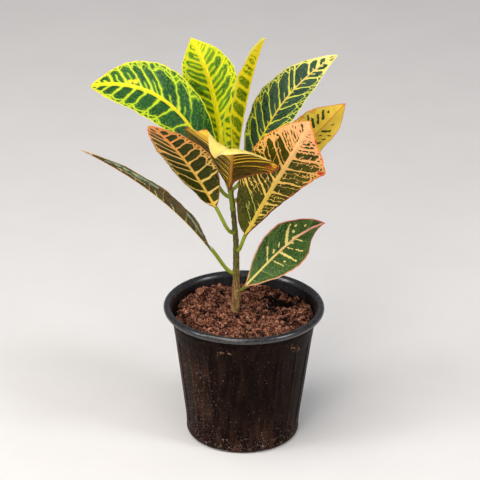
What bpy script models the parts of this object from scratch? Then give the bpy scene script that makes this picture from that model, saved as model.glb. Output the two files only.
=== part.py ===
"""Potted croton: a young croton with ten leaves in a moulded nursery pot filled with soil.

Metres, +Z up. The origin is at the centre of the pot's underside, -Y is the front.
Every leaf, the stem, the soil and the pot are one closed solid each.
"""

import math

import bmesh
import bpy
from mathutils import Matrix, Vector, noise

MM = 0.001
GAP = 0.3 * MM
MERGE = 0.05 * MM
SHARP_ANGLE = math.radians(40)

# Pot
POT_HEIGHT = 131 * MM
RIM_RADIUS = 75 * MM
LIP_ROUND = 3.3 * MM
LIP_STATIONS = 10
LIP_UNDERCUT = 1.0 * MM
WALL = 1.5 * MM
COLLAR_RADIUS = 68.6 * MM
COLLAR_DROP = 14 * MM
COLLAR_STEP = 1.4 * MM
BODY_RADIUS = 66.6 * MM
HEEL_RADIUS = 53.0 * MM
HEEL_HEIGHT = 12 * MM
HEEL_ROUNDING = [(1.2 * MM, 6.0 * MM), (2.8 * MM, 1.5 * MM)]
FOOT_RADIUS = 48.5 * MM
FOOT_INNER_RADIUS = 40 * MM
PAD_RADIUS = 15 * MM
RECESS_SLOPE = 1.5 * MM
FLOOR_LIFT = 2.5 * MM
FLOOR_TOP = 4.2 * MM
TURNS = 72
FLUTES = 18
FLUTE_DEPTH = 0.5 * MM
FLUTE_BOTTOM = 16 * MM
FLUTE_TOP = 104 * MM
FLUTE_FADE = 4 * MM
DRAIN_HOLES = 6
DRAIN_HOLE_RADIUS = 4.5 * MM
DRAIN_RING_RADIUS = 28 * MM
DRAIN_CUT = 16 * MM
NOTCHES = 8
NOTCH_WIDTH = 14 * MM
NOTCH_HEIGHT = 2.2 * MM
NOTCH_LENGTH = 16 * MM

# Soil
SOIL_LEVEL = POT_HEIGHT - 12 * MM
SOIL_SWELL = 2.2 * MM
SOIL_SWELL_SPAN = 22 * MM
SOIL_CRUMB = 1.1 * MM
SOIL_CRUMB_SPAN = 9 * MM
SOIL_HOLLOW = 5.0 * MM
SOIL_HOLLOW_AT = (42 * MM, 18 * MM)
SOIL_HOLLOW_REACH = 20 * MM
SOIL_RINGS = 7
SOIL_SLACK = 0.7 * MM

# Stem: height and place of its axis, and its radius there
STEM_AXIS = [
    (88, -8.4, 8.3, 4.1),
    (119, -8.4, 8.3, 4.1),
    (145, -7.4, 8.3, 3.2),
    (190, -7.9, 8.3, 2.5),
    (224, -11.2, 8.3, 2.2),
    (246, -14.0, 8.3, 2.0),
    (256, -15.2, 8.8, 1.7),
]

# Leaves
LEAF_SIDES = 12
PETIOLE_STATIONS = 6
BLADE_STATIONS = 18
PETIOLE_RADIUS = 1.8 * MM
PETIOLE_FOOT_RADIUS = 2.2 * MM
PETIOLE_FOOT_SHARE = 1 / 3
PETIOLE_STRAIGHT_OUT = 0.20
PETIOLE_STRAIGHT_IN = 0.45
BLADE_THICKNESS = 0.9 * MM
RIB_RADIUS = 1.5 * MM
TIP_RADIUS = 0.4 * MM
RIB_FOOTING = 3.0
RIB_TOP_SHARE = 0.3
BLADE_OPENING = 1 / 8
ACROSS_POWER = 1.3

# Each leaf, in millimetres and degrees. joint is the height of its petiole on the stem. base, low, high
# and tip are the midrib's curve. faces is the side of the plant that the leaf grew towards. left and right
# are its half widths, widest is where it is widest, belly and point shape the outline below and above that
# place, and corner draws it out there, from 0, round, to 1, straight-sided. fold lifts both halves from the
# midrib and roll turns the blade, each from its base to its tip, and droop bends a half down towards its
# edge. A pair for widest, belly, point, corner or droop is for left and for right.
LEAVES = {
    "leaf_upper_left": dict(
        joint=236, base=(-28, 10, 254), low=(-55, 18, 335), high=(-100, 21, 345), tip=(-143, 45, 329),
        faces=165, left=30, right=30, widest=0.60, belly=0.65, point=0.78, fold=(12, 12), roll=(-45, -20)),
    "leaf_top_yellow": dict(
        joint=241, base=(-21, 29, 260), low=(-26, 47, 315), high=(-38, 60, 347), tip=(-52, 78, 365),
        faces=115, left=28, right=27, widest=0.56, belly=0.80, point=1.05, fold=(10, 10), roll=(6, -3)),
    "leaf_top_folded": dict(
        joint=248, base=(-9, 15, 266), low=(-6, 22, 292), high=(2, 34, 346), tip=(16, 24, 385),
        faces=30, left=25, right=26, widest=0.42, belly=0.80, point=0.60, fold=(34, 34), roll=(-10, -46)),
    "leaf_upper_right": dict(
        joint=243, base=(-2, 11, 256), low=(18, 14, 302), high=(34, 32, 336), tip=(83, 48, 361),
        faces=25, left=28, right=28, widest=0.50, belly=0.90, point=0.88, fold=(11, 11), roll=(5, 18)),
    "leaf_back_right": dict(
        joint=231, base=(4, 15, 241), low=(48, 37, 265), high=(74, 54, 290), tip=(92, 64, 307),
        faces=35, left=27, right=27, widest=0.55, belly=0.80, point=1.0, fold=(14, 14), roll=(6, 4)),
    "leaf_front_right": dict(
        joint=183, base=(1, -4, 204), low=(30, -16, 270), high=(44, -38, 298), tip=(57, -48, 334),
        faces=-85, left=34.5, right=33, widest=(0.63, 0.42), belly=(0.80, 0.58), point=(1.0, 0.75),
        fold=(7, 7), roll=(0, -44), corner=(0.9, 0.0), droop=(0.0, -0.14)),
    "leaf_front_left": dict(
        joint=201, base=(-27, -6, 232), low=(-46, -2, 266), high=(-63, -24, 299), tip=(-85, -54, 331),
        faces=-125, left=25, right=28, widest=0.50, belly=0.70, point=0.75, fold=(12, 12), roll=(16, 12)),
    "leaf_front_centre": dict(
        joint=224, base=(-14, 0, 247), low=(-14, -17, 282), high=(-6, -79, 334), tip=(-27, -72, 308),
        faces=-95, left=45, right=50, widest=0.39, belly=(2.5, 1.75), point=(2.1, 0.70), fold=(24, 12),
        roll=(-7, -12), droop=(0.3, 0.0)),
    "leaf_low_left": dict(
        joint=159, base=(-31, 4, 185), low=(-47, -2, 208), high=(-78, -5, 250), tip=(-150, -6, 287),
        faces=182, left=21, right=21, widest=0.50, belly=1.3, point=0.90, fold=(22, 22), roll=(12, 30)),
    "leaf_low_right": dict(
        joint=141, base=(2, 5, 147), low=(38, 11, 190), high=(56, 28, 194), tip=(74, 16, 207),
        faces=10, left=24, right=30, widest=0.44, belly=0.85, point=1.10, fold=(7, 7), roll=(46, 0)),
}

# Colours: red, green, blue, roughness
POT_PLASTIC = (0.018, 0.015, 0.014, 0.45)
SOIL_BROWN = (0.095, 0.036, 0.022, 0.95)
STEM_BARK = (0.16, 0.13, 0.055, 0.7)
LEAF_COLOURS = {
    "leaf_upper_left": (0.05, 0.13, 0.04, 0.4),
    "leaf_top_yellow": (0.30, 0.36, 0.02, 0.4),
    "leaf_top_folded": (0.26, 0.26, 0.02, 0.4),
    "leaf_upper_right": (0.04, 0.10, 0.05, 0.4),
    "leaf_back_right": (0.50, 0.38, 0.04, 0.4),
    "leaf_front_right": (0.28, 0.15, 0.06, 0.5),
    "leaf_front_left": (0.22, 0.12, 0.04, 0.5),
    "leaf_front_centre": (0.42, 0.30, 0.05, 0.45),
    "leaf_low_left": (0.10, 0.11, 0.04, 0.5),
    "leaf_low_right": (0.07, 0.13, 0.05, 0.4),
}


def clear_scene():
    for thing in list(bpy.data.objects):
        bpy.data.objects.remove(thing)


def new_collection(name):
    group = bpy.data.collections.new(name)
    bpy.context.scene.collection.children.link(group)
    return group


def plain_material(name, colour):
    red, green, blue, roughness = colour
    material = bpy.data.materials.new(name)
    material.use_nodes = True
    shader = material.node_tree.nodes["Principled BSDF"]
    shader.inputs["Base Color"].default_value = (red, green, blue, 1.0)
    shader.inputs["Roughness"].default_value = roughness
    shader.inputs["Metallic"].default_value = 0.0
    return material


def place(name, mesh, group, colour):
    """Make the named object of a mesh, with its own material."""
    thing = bpy.data.objects.new(name, mesh)
    group.objects.link(thing)
    mesh.materials.clear()
    mesh.materials.append(plain_material(name, colour))
    mesh.shade_smooth()
    mesh.set_sharp_from_angle(angle=SHARP_ANGLE)
    return thing


def make_cutter(name, build, group):
    """Make a hidden cutter whose shape a function builds in a bmesh."""
    mesh = bpy.data.meshes.new(name)
    shape = bmesh.new()
    build(shape)
    shape.to_mesh(mesh)
    shape.free()
    cutter = bpy.data.objects.new(name, mesh)
    cutter.hide_render = True
    cutter.display_type = "WIRE"
    group.objects.link(cutter)
    return cutter


def cut(thing, cutter):
    step = thing.modifiers.new(cutter.name, "BOOLEAN")
    step.operation = "DIFFERENCE"
    step.object = cutter
    step.solver = "EXACT"


def evaluated_mesh(thing):
    """Bake an object's modifiers or curve into a new mesh."""
    bpy.context.view_layer.update()
    seen = thing.evaluated_get(bpy.context.evaluated_depsgraph_get())
    return bpy.data.meshes.new_from_object(seen)


def turned_mesh(name, profile, group):
    """Turn a profile of radius and height pairs about Z with a Screw modifier."""
    mesh = bpy.data.meshes.new(name)
    mesh.from_pydata([(r, 0.0, z) for r, z in profile], [(i, i + 1) for i in range(len(profile) - 1)], [])
    thing = bpy.data.objects.new(name, mesh)
    group.objects.link(thing)
    turn = thing.modifiers.new("turn", "SCREW")
    turn.steps = TURNS
    turn.render_steps = TURNS
    turn.use_merge_vertices = True
    turn.merge_threshold = MERGE
    turned = evaluated_mesh(thing)
    bpy.data.objects.remove(thing)
    return turned


def arc(centre, radius, start, end, pieces):
    """Points on an arc in the radius and height plane, angles in degrees from outwards."""
    points = []
    for i in range(pieces + 1):
        angle = math.radians(start + (end - start) * i / pieces)
        points.append((centre[0] + radius * math.cos(angle), centre[1] + radius * math.sin(angle)))
    return points


def wall_radius(height):
    """Outer radius of the pot's tapering body at a height."""
    share = (height - HEEL_HEIGHT) / (POT_HEIGHT - COLLAR_DROP - HEEL_HEIGHT)
    return HEEL_RADIUS + (BODY_RADIUS - HEEL_RADIUS) * share


def pot_profile():
    """From the middle of the inside floor, up the inside, over the lip and down the outside."""
    lip = (RIM_RADIUS - LIP_ROUND, POT_HEIGHT - LIP_ROUND)
    collar_foot = POT_HEIGHT - COLLAR_DROP
    mid = (HEEL_HEIGHT + collar_foot) / 2
    inside = [
        (0.0, FLOOR_TOP),
        (PAD_RADIUS, FLOOR_TOP),
        (FOOT_INNER_RADIUS, FLOOR_TOP),
        (FOOT_RADIUS - WALL, FLOOR_TOP),
        (HEEL_RADIUS - WALL, HEEL_HEIGHT),
        (wall_radius(mid) - WALL, mid),
        (BODY_RADIUS - WALL, collar_foot),
        (COLLAR_RADIUS - WALL, collar_foot + COLLAR_STEP),
        (COLLAR_RADIUS - WALL, POT_HEIGHT - LIP_ROUND),
    ]
    over_lip = arc(lip, LIP_ROUND, 140, -100, LIP_STATIONS)
    under_lip = [(COLLAR_RADIUS + LIP_UNDERCUT, POT_HEIGHT - 2 * LIP_ROUND + LIP_UNDERCUT)]
    outside = [
        (COLLAR_RADIUS, POT_HEIGHT - 2 * LIP_ROUND),
        (COLLAR_RADIUS, collar_foot + COLLAR_STEP / 2),
        (BODY_RADIUS, collar_foot - COLLAR_STEP / 2),
    ]
    for height in (FLUTE_TOP, FLUTE_TOP - FLUTE_FADE, mid, FLUTE_BOTTOM + FLUTE_FADE, FLUTE_BOTTOM):
        outside.append((wall_radius(height), height))
    outside.append((HEEL_RADIUS, HEEL_HEIGHT))
    outside += [(HEEL_RADIUS - inwards, height) for inwards, height in HEEL_ROUNDING]
    underside = [
        (FOOT_RADIUS, 0.0),
        (FOOT_INNER_RADIUS, 0.0),
        (FOOT_INNER_RADIUS - RECESS_SLOPE, FLOOR_LIFT),
        (PAD_RADIUS + RECESS_SLOPE, FLOOR_LIFT),
        (PAD_RADIUS, 0.0),
        (0.0, 0.0),
    ]
    return inside + over_lip + under_lip + outside + underside


def flute_walls(mesh):
    """Press shallow upright flutes into the body, with a rib left between each two."""
    per_flute = TURNS // FLUTES
    for vertex in mesh.vertices:
        radius = math.hypot(vertex.co.x, vertex.co.y)
        on_wall = FLUTE_BOTTOM + MERGE < vertex.co.z < FLUTE_TOP - MERGE
        if not on_wall or radius < wall_radius(vertex.co.z) - WALL / 2:
            continue
        turn = math.atan2(vertex.co.y, vertex.co.x) / (2 * math.pi) * TURNS
        if round(turn) % per_flute:
            shrink = (radius - FLUTE_DEPTH) / radius
            vertex.co.x *= shrink
            vertex.co.y *= shrink


def drain_holes(shape):
    for i in range(DRAIN_HOLES):
        angle = 2 * math.pi * (i + 0.5) / DRAIN_HOLES
        made = bmesh.ops.create_cone(
            shape, cap_ends=True, segments=16,
            radius1=DRAIN_HOLE_RADIUS, radius2=DRAIN_HOLE_RADIUS, depth=DRAIN_CUT)
        at = Vector((DRAIN_RING_RADIUS * math.cos(angle), DRAIN_RING_RADIUS * math.sin(angle), FLOOR_LIFT))
        bmesh.ops.translate(shape, vec=at, verts=made["verts"])


def heel_notches(shape):
    """Low boxes that cut the standing ring, so that water can run out."""
    for i in range(NOTCHES):
        made = bmesh.ops.create_cube(shape, size=1.0)
        verts = made["verts"]
        bmesh.ops.scale(shape, vec=(NOTCH_LENGTH, NOTCH_WIDTH, 2 * NOTCH_HEIGHT), verts=verts)
        bmesh.ops.translate(shape, vec=((FOOT_INNER_RADIUS + HEEL_RADIUS) / 2, 0, 0), verts=verts)
        turn = Matrix.Rotation(2 * math.pi * (i + 0.5) / NOTCHES, 3, "Z")
        bmesh.ops.rotate(shape, cent=(0, 0, 0), matrix=turn, verts=verts)


def make_pot(parts, cutters):
    mesh = turned_mesh("pot", pot_profile(), parts)
    flute_walls(mesh)
    pot = place("pot", mesh, parts, POT_PLASTIC)
    cut(pot, make_cutter("pot_drain_cutter", drain_holes, cutters))
    cut(pot, make_cutter("pot_notch_cutter", heel_notches, cutters))


def soil_height(x, y):
    """Uneven top of the soil: low swells, and a hollow at the right towards the back."""
    place_on = Vector((x, y, 0.0))
    swell = SOIL_SWELL * noise.noise(place_on / SOIL_SWELL_SPAN)
    crumb = SOIL_CRUMB * noise.noise(place_on / SOIL_CRUMB_SPAN)
    away = math.hypot(x - SOIL_HOLLOW_AT[0], y - SOIL_HOLLOW_AT[1])
    hollow = SOIL_HOLLOW * math.exp(-((away / SOIL_HOLLOW_REACH) ** 2))
    return SOIL_LEVEL + swell + crumb - hollow


def stem_hole(shape):
    """A round cutter a gap wider and deeper than the buried end of the stem."""
    foot, x, y, radius = (value * MM for value in STEM_AXIS[0])
    height = 2 * (SOIL_LEVEL - foot)
    made = bmesh.ops.create_cone(
        shape, cap_ends=True, segments=24, radius1=radius + GAP, radius2=radius + GAP, depth=height)
    bmesh.ops.translate(shape, vec=(x, y, foot - GAP + height / 2), verts=made["verts"])


def make_soil(parts, cutters):
    """The fill: it follows the inside of the pot, a gap away from it."""
    collar_foot = POT_HEIGHT - COLLAR_DROP
    top_radius = BODY_RADIUS - WALL - SOIL_SLACK
    profile = [(top_radius * i / SOIL_RINGS, SOIL_LEVEL) for i in range(SOIL_RINGS + 1)]
    profile += [
        (top_radius, collar_foot - COLLAR_STEP),
        (HEEL_RADIUS - WALL - SOIL_SLACK, HEEL_HEIGHT),
        (FOOT_RADIUS - WALL - 2 * SOIL_SLACK, FLOOR_TOP + GAP),
        (0.0, FLOOR_TOP + GAP),
    ]
    mesh = turned_mesh("soil", profile, parts)
    for vertex in mesh.vertices:
        if vertex.co.z > SOIL_LEVEL - MERGE:
            vertex.co.z = soil_height(vertex.co.x, vertex.co.y)
    soil = place("soil", mesh, parts, SOIL_BROWN)
    cut(soil, make_cutter("stem_hole_cutter", stem_hole, cutters))


def stem_point(height):
    """Place and radius of the stem's axis at a height in metres."""
    rows = [(z * MM, x * MM, y * MM, r * MM) for z, x, y, r in STEM_AXIS]
    for low, high in zip(rows, rows[1:]):
        if low[0] <= height <= high[0]:
            share = (height - low[0]) / (high[0] - low[0])
            mixed = [a + (b - a) * share for a, b in zip(low, high)]
            return Vector((mixed[1], mixed[2], height)), mixed[3]
    raise ValueError("height off the stem")


def make_stem(parts):
    """A tube of changing thickness with closed ends."""
    curve = bpy.data.curves.new("stem", "CURVE")
    curve.dimensions = "3D"
    curve.bevel_depth = 1.0
    curve.bevel_resolution = 3
    curve.use_fill_caps = True
    line = curve.splines.new("POLY")
    line.points.add(len(STEM_AXIS) - 1)
    for point, (z, x, y, r) in zip(line.points, STEM_AXIS):
        point.co = (x * MM, y * MM, z * MM, 1.0)
        point.radius = r * MM
    guide = bpy.data.objects.new("stem_guide", curve)
    parts.objects.link(guide)
    mesh = evaluated_mesh(guide)
    bpy.data.objects.remove(guide)
    welded = bmesh.new()
    welded.from_mesh(mesh)
    bmesh.ops.remove_doubles(welded, verts=welded.verts, dist=MERGE)
    bmesh.ops.recalc_face_normals(welded, faces=welded.faces)
    welded.to_mesh(mesh)
    welded.free()
    place("stem", mesh, parts, STEM_BARK)


def bezier(points, share):
    """Place and direction on a cubic curve of four points."""
    a, b, c, d = points
    rest = 1.0 - share
    place_on = a * rest**3 + b * (3 * share * rest**2) + c * (3 * share**2 * rest) + d * share**3
    along = (b - a) * rest**2 + (c - b) * (2 * share * rest) + (d - c) * share**2
    return place_on, along.normalized()


def of_half(value, across):
    """The left or the right one of a pair, or the value that both halves share."""
    if isinstance(value, tuple):
        return value[0] if across > 0 else value[1]
    return value


def outline(leaf, share, across):
    """Width of one half of the blade, as a share of its widest, along the midrib."""
    widest = of_half(leaf["widest"], across)
    if share < widest:
        rise, power = share / widest, of_half(leaf["belly"], across)
    else:
        rise, power = (1.0 - share) / (1.0 - widest), of_half(leaf["point"], across)
    rounded = max(0.0, math.sin(math.pi / 2 * rise))
    return (rounded + (rise - rounded) * of_half(leaf.get("corner", 0.0), across)) ** power


def blade_frame(leaf, along, share):
    """Sideways and upward directions of the blade, rolled about the midrib."""
    facing = math.radians(leaf["faces"])
    side = Vector((-math.sin(facing), math.cos(facing), 0.0))
    up = along.cross(side).normalized()
    side = up.cross(along)
    roll = math.radians(leaf["roll"][0] + (leaf["roll"][1] - leaf["roll"][0]) * share)
    return side * math.cos(roll) + up * math.sin(roll), up * math.cos(roll) - side * math.sin(roll)


def petiole_curve(leaf, midrib):
    """From the side of the stem, straight out of it, up into the base of the blade."""
    axis, radius = stem_point(leaf["joint"] * MM)
    lean = (stem_point((leaf["joint"] + 1) * MM)[0] - axis).normalized()
    base, along = bezier(midrib, 0.0)
    out = base - axis
    out = (out - lean * out.dot(lean)).normalized()
    start = axis + out * (radius + GAP)
    reach = (base - start).length
    leaving = start + out * reach * PETIOLE_STRAIGHT_OUT
    arriving = base - along * reach * PETIOLE_STRAIGHT_IN
    return [start, leaving, arriving, base]


def petiole_ring(leaf, petiole, share, angle):
    """A point of the petiole's round skin."""
    centre, along = bezier(petiole, share)
    side, up = blade_frame(leaf, along, 0.0)
    narrowed = min(1.0, share / PETIOLE_FOOT_SHARE)
    radius = PETIOLE_FOOT_RADIUS + (PETIOLE_RADIUS - PETIOLE_FOOT_RADIUS) * narrowed
    return centre + side * (radius * math.cos(angle)) + up * (radius * math.sin(angle))


def blade_ring(leaf, midrib, share, angle):
    """A point of the blade's skin: a thin folded sheet with the midrib's bulge, mostly below it."""
    across = math.cos(angle)
    lift = math.sin(angle)
    centre, along = bezier(midrib, share)
    side, up = blade_frame(leaf, along, share)
    half = of_half((leaf["left"], leaf["right"]), across) * MM * outline(leaf, share, across)
    petiole_left = max(0.0, 1.0 - share / BLADE_OPENING)
    rib = RIB_RADIUS + (TIP_RADIUS - RIB_RADIUS) * share + (PETIOLE_RADIUS - RIB_RADIUS) * petiole_left
    spread = math.copysign(abs(across) ** ACROSS_POWER, across) * (1 - petiole_left) + across * petiole_left
    fold = math.radians(leaf["fold"][0] + (leaf["fold"][1] - leaf["fold"][0]) * share) * (1 - petiole_left)
    sideways = math.hypot(half, rib) * spread * math.cos(fold)
    raised = half * abs(spread) * (math.sin(fold) - of_half(leaf.get("droop", 0.0), across) * abs(spread))
    near_rib = max(0.0, 1.0 - abs(sideways) / (RIB_FOOTING * rib))
    bulge = 1.0 if lift < 0 else RIB_TOP_SHARE + (1 - RIB_TOP_SHARE) * petiole_left
    thick = BLADE_THICKNESS / 2 + (rib - BLADE_THICKNESS / 2) * near_rib * bulge
    return centre + side * sideways + up * (raised + thick * lift)


def leaf_ring(leaf, midrib, petiole, share, angle):
    """A point of the leaf's skin: share runs from the stem to the tip, angle goes round the section."""
    split = PETIOLE_STATIONS / (PETIOLE_STATIONS + BLADE_STATIONS)
    if share <= split:
        return petiole_ring(leaf, petiole, share / split, angle)
    return blade_ring(leaf, midrib, (share - split) / (1.0 - split), angle)


def make_leaf(name, leaf, parts):
    """A cylinder drawn out along the petiole and the midrib, and flattened into the blade."""
    midrib = [Vector(leaf[key]) * MM for key in ("base", "low", "high", "tip")]
    petiole = petiole_curve(leaf, midrib)
    shape = bmesh.new()
    bmesh.ops.create_cone(shape, cap_ends=True, segments=LEAF_SIDES, radius1=1.0, radius2=1.0, depth=1.0)
    rails = [edge for edge in shape.edges if abs(edge.verts[0].co.z - edge.verts[1].co.z) > 0.5]
    bmesh.ops.subdivide_edges(shape, edges=rails, cuts=PETIOLE_STATIONS + BLADE_STATIONS - 1)
    for vertex in shape.verts:
        angle = math.atan2(vertex.co.y, vertex.co.x)
        vertex.co = leaf_ring(leaf, midrib, petiole, vertex.co.z + 0.5, angle)
    mesh = bpy.data.meshes.new(name)
    shape.to_mesh(mesh)
    shape.free()
    place(name, mesh, parts, LEAF_COLOURS[name])


def main():
    clear_scene()
    parts = new_collection("potted_croton")
    cutters = new_collection("cutters")
    make_pot(parts, cutters)
    make_soil(parts, cutters)
    make_stem(parts)
    for name, leaf in LEAVES.items():
        make_leaf(name, leaf, parts)


main()
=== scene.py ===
"""Looks of the potted croton: nursery pot, soil, stem and ten variegated leaves, round the fixed frame."""

import math
import random

import bmesh
import bpy
import numpy as np
from mathutils import Matrix, Vector, noise


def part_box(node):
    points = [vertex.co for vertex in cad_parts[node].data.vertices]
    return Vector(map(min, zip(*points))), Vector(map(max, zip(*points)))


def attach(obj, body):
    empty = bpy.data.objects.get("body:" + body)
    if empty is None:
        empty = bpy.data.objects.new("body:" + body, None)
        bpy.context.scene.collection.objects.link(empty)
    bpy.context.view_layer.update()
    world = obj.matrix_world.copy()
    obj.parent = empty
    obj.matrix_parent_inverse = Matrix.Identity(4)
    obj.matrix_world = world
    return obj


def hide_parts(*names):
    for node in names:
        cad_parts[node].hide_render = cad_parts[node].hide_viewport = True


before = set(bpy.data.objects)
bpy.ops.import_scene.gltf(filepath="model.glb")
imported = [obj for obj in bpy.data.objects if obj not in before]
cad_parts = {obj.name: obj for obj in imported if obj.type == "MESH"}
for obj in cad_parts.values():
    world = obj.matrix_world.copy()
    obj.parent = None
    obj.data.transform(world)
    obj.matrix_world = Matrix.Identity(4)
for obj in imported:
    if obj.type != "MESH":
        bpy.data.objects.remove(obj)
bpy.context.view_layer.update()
MM = 0.001


# Studio floor. One wide pale sheet that the pot stands on, matt and very faintly mottled so that it
# isn't a flat tone. It isn't part of the object.
FLOOR_HALF = 5.0
FLOOR_PALE = (0.80, 0.765, 0.73, 1.0)
FLOOR_DEEP = (0.785, 0.75, 0.715, 1.0)
FLOOR_MOTTLE = 0.012


def add_node(tree, kind, sockets=(), outlet=0, **settings):
    """Add a shader node, set it up, link or set its input sockets, and give one of its outputs."""
    made = tree.nodes.new("ShaderNode" + kind)
    for setting, value in settings.items():
        setattr(made, setting, value)
    for socket, value in dict(sockets).items():
        if isinstance(value, bpy.types.NodeSocket):
            tree.links.new(value, made.inputs[socket])
        else:
            made.inputs[socket].default_value = value
    return made.outputs[outlet]


def fade(tree, value, low, high):
    """A soft step from 0 at low to 1 at high."""
    sockets = {"Value": value, "From Min": low, "From Max": high}
    return add_node(tree, "MapRange", sockets, interpolation_type="SMOOTHSTEP")


def mix(tree, share, under, over):
    """The colour under, covered by the colour over as far as share, from 0 to 1, says."""
    return add_node(tree, "Mix", {0: share, 6: under, 7: over}, outlet=2, data_type="RGBA")


def cloud(tree, vector, scale, detail=3.0):
    """Soft noise round a half, its scale in grains per unit."""
    return add_node(tree, "TexNoise", {"Vector": vector, "Scale": scale, "Detail": detail})


def new_finish(name, roughness, specular=0.5):
    """A material with its shader's constants set, its node tree and its shader."""
    finish = bpy.data.materials.new(name)
    finish.use_nodes = True
    tree = finish.node_tree
    shader = tree.nodes["Principled BSDF"]
    shader.inputs["Roughness"].default_value = roughness
    shader.inputs["Specular IOR Level"].default_value = specular
    return finish, tree, shader


def object_place(tree):
    """The object's own coordinates, in millimetres."""
    place = add_node(tree, "TexCoord", outlet=3)
    return add_node(tree, "VectorMath", {0: place, "Scale": 1 / MM}, operation="SCALE")


def new_piece(name, shape, finish):
    """Turn a bmesh into a named object at the origin, smooth, with its finish."""
    mesh = bpy.data.meshes.new(name)
    shape.to_mesh(mesh)
    shape.free()
    mesh.materials.append(finish)
    mesh.shade_smooth()
    piece = bpy.data.objects.new(name, mesh)
    bpy.context.scene.collection.objects.link(piece)
    return piece


finish, tree, shader = new_finish("pale_floor", roughness=0.9, specular=0.2)
mottle = cloud(tree, object_place(tree), FLOOR_MOTTLE, detail=5.0)
tree.links.new(mix(tree, fade(tree, mottle, 0.35, 0.65), FLOOR_PALE, FLOOR_DEEP), shader.inputs["Base Color"])
shape = bmesh.new()
bmesh.ops.create_grid(shape, x_segments=4, y_segments=4, size=FLOOR_HALF)
floor = new_piece("floor", shape, finish)


# Studio light and camera. A broad soft sheet of light above and to the left, weaker ones from both sides
# and a low one from the front stand for an open sky. The camera looks down a long lens at the plant.
LIGHTS = [
    ("sky_sheet", (-0.6, -0.7, 2.0), 1.6, 32, (1.0, 0.98, 0.95)),
    ("right_sheet", (1.5, -0.8, 1.2), 0.6, 16, (0.90, 0.95, 1.0)),
    ("left_sheet", (-1.5, -0.6, 1.0), 0.5, 8, (0.93, 0.96, 1.0)),
    ("front_sheet", (-0.7, -2.3, 1.3), 1.0, 17, (1.0, 0.96, 0.91)),
]
WORLD_LIGHT = (0.90, 0.92, 1.0, 1.0)
WORLD_STRENGTH = 0.32
AIM = Vector((-0.0044, 0.0, 0.196))
CAMERA_DISTANCE = 2.528
CAMERA_PITCH = math.radians(24.7)
CAMERA_ROLL = math.radians(0.66)
CAMERA_LENS = 205.74
CAMERA_SENSOR = 36.0

for name, place, size, power, glow in LIGHTS:
    sheet = bpy.data.lights.new(name, "AREA")
    sheet.size = size
    sheet.energy = power
    sheet.color = glow
    lamp = bpy.data.objects.new(name, sheet)
    lamp.location = place
    lamp.rotation_euler = (Vector(place) - AIM).to_track_quat("Z", "Y").to_euler()
    bpy.context.scene.collection.objects.link(lamp)

world = bpy.data.worlds.new("studio")
world.use_nodes = True
world.node_tree.nodes["Background"].inputs["Color"].default_value = WORLD_LIGHT
world.node_tree.nodes["Background"].inputs["Strength"].default_value = WORLD_STRENGTH
bpy.context.scene.world = world
bpy.context.scene.view_settings.view_transform = "Standard"

backwards = Vector((0.0, -math.cos(CAMERA_PITCH), math.sin(CAMERA_PITCH)))
level_up = Vector((1.0, 0.0, 0.0)).cross(-backwards)
turn = Matrix.Rotation(CAMERA_ROLL, 3, backwards)
axes = Matrix((turn @ Vector((1.0, 0.0, 0.0)), turn @ level_up, backwards)).transposed()
camera_data = bpy.data.cameras.new("camera")
camera_data.lens = CAMERA_LENS
camera_data.sensor_width = CAMERA_SENSOR
camera = bpy.data.objects.new("camera", camera_data)
camera.matrix_world = Matrix.Translation(AIM + backwards * CAMERA_DISTANCE) @ axes.to_4x4()
bpy.context.scene.collection.objects.link(camera)
bpy.context.scene.camera = camera


# Pot. One thin injection-moulded nursery pot of black polypropylene: a rolled lip over a short collar, a
# stepped wall with eighteen shallow flutes, a rounded heel on a notched standing ring, and drain holes.
# Earth clings to its wall. Its lip is glossier, with bluish patches that are a painted sky reflection, and
# its inside wall has dimmer bluish patches, the same painted reflection darkened as painted shade: it has a
# finish for each.
pot_low, pot_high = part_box("pot")
POT_HEIGHT = pot_high.z
RIM_RADIUS = (pot_high.x - pot_low.x) / 2
LIP_ROUND = 3.3 * MM
LIP_FOOT = POT_HEIGHT - 2.2 * LIP_ROUND
WALL = 1.5 * MM
COLLAR_RADIUS = 68.6 * MM
COLLAR_FOOT = POT_HEIGHT - 14 * MM
COLLAR_STEP = 1.4 * MM
STEP_ROUND = 0.8 * MM
BODY_RADIUS = 66.6 * MM
HEEL_RADIUS = 53.0 * MM
HEEL_HEIGHT = 12 * MM
HEEL_ROUND = 5 * MM
FOOT_RADIUS = 48.5 * MM
FOOT_INNER_RADIUS = 40 * MM
PAD_RADIUS = 15 * MM
FLOOR_LIFT = 2.5 * MM
FLOOR_TOP = 4.2 * MM
UNDER_SLOPE = 1.5 * MM
FLUTES = 18
FLUTE_DEPTH = 0.8 * MM
FLUTE_BOTTOM = 15 * MM
FLUTE_TOP = 104 * MM
FLUTE_FADE = 5 * MM
RIB_TOP = 0.03
RIB_SLOPE = 0.07
POT_TURNS = 432
WALL_STEPS = 40
SEAM = 0.01 * MM
DRAIN_HOLES = 6
DRAIN_HOLE_RADIUS = 4.5 * MM
DRAIN_RING_RADIUS = 28 * MM
NOTCHES = 8
NOTCH_WIDTH = 14 * MM
NOTCH_HEIGHT = 2.2 * MM
NOTCH_REACH = 16 * MM
CUT_SEAM = 0.005 * MM
CREASE = math.radians(38)
BLACK_PLASTIC = (0.0050, 0.0020, 0.0012, 1.0)
WORN_PLASTIC = (0.012, 0.0055, 0.0036, 1.0)
# Bluish tint of the lip: a painted sky reflection.
LIP_SKY_SHEEN = (0.013, 0.015, 0.019, 1.0)
# Dimmer bluish tint of the inside wall: a painted sky reflection, darkened as painted shade.
INNER_DIM_SHEEN = (0.008, 0.009, 0.011, 1.0)
DRIED_SPLASH = (0.22, 0.085, 0.040, 1.0)
GREY_GRIT = (0.30, 0.24, 0.21, 1.0)
PALE_DUST = (0.090, 0.040, 0.024, 1.0)


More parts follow.
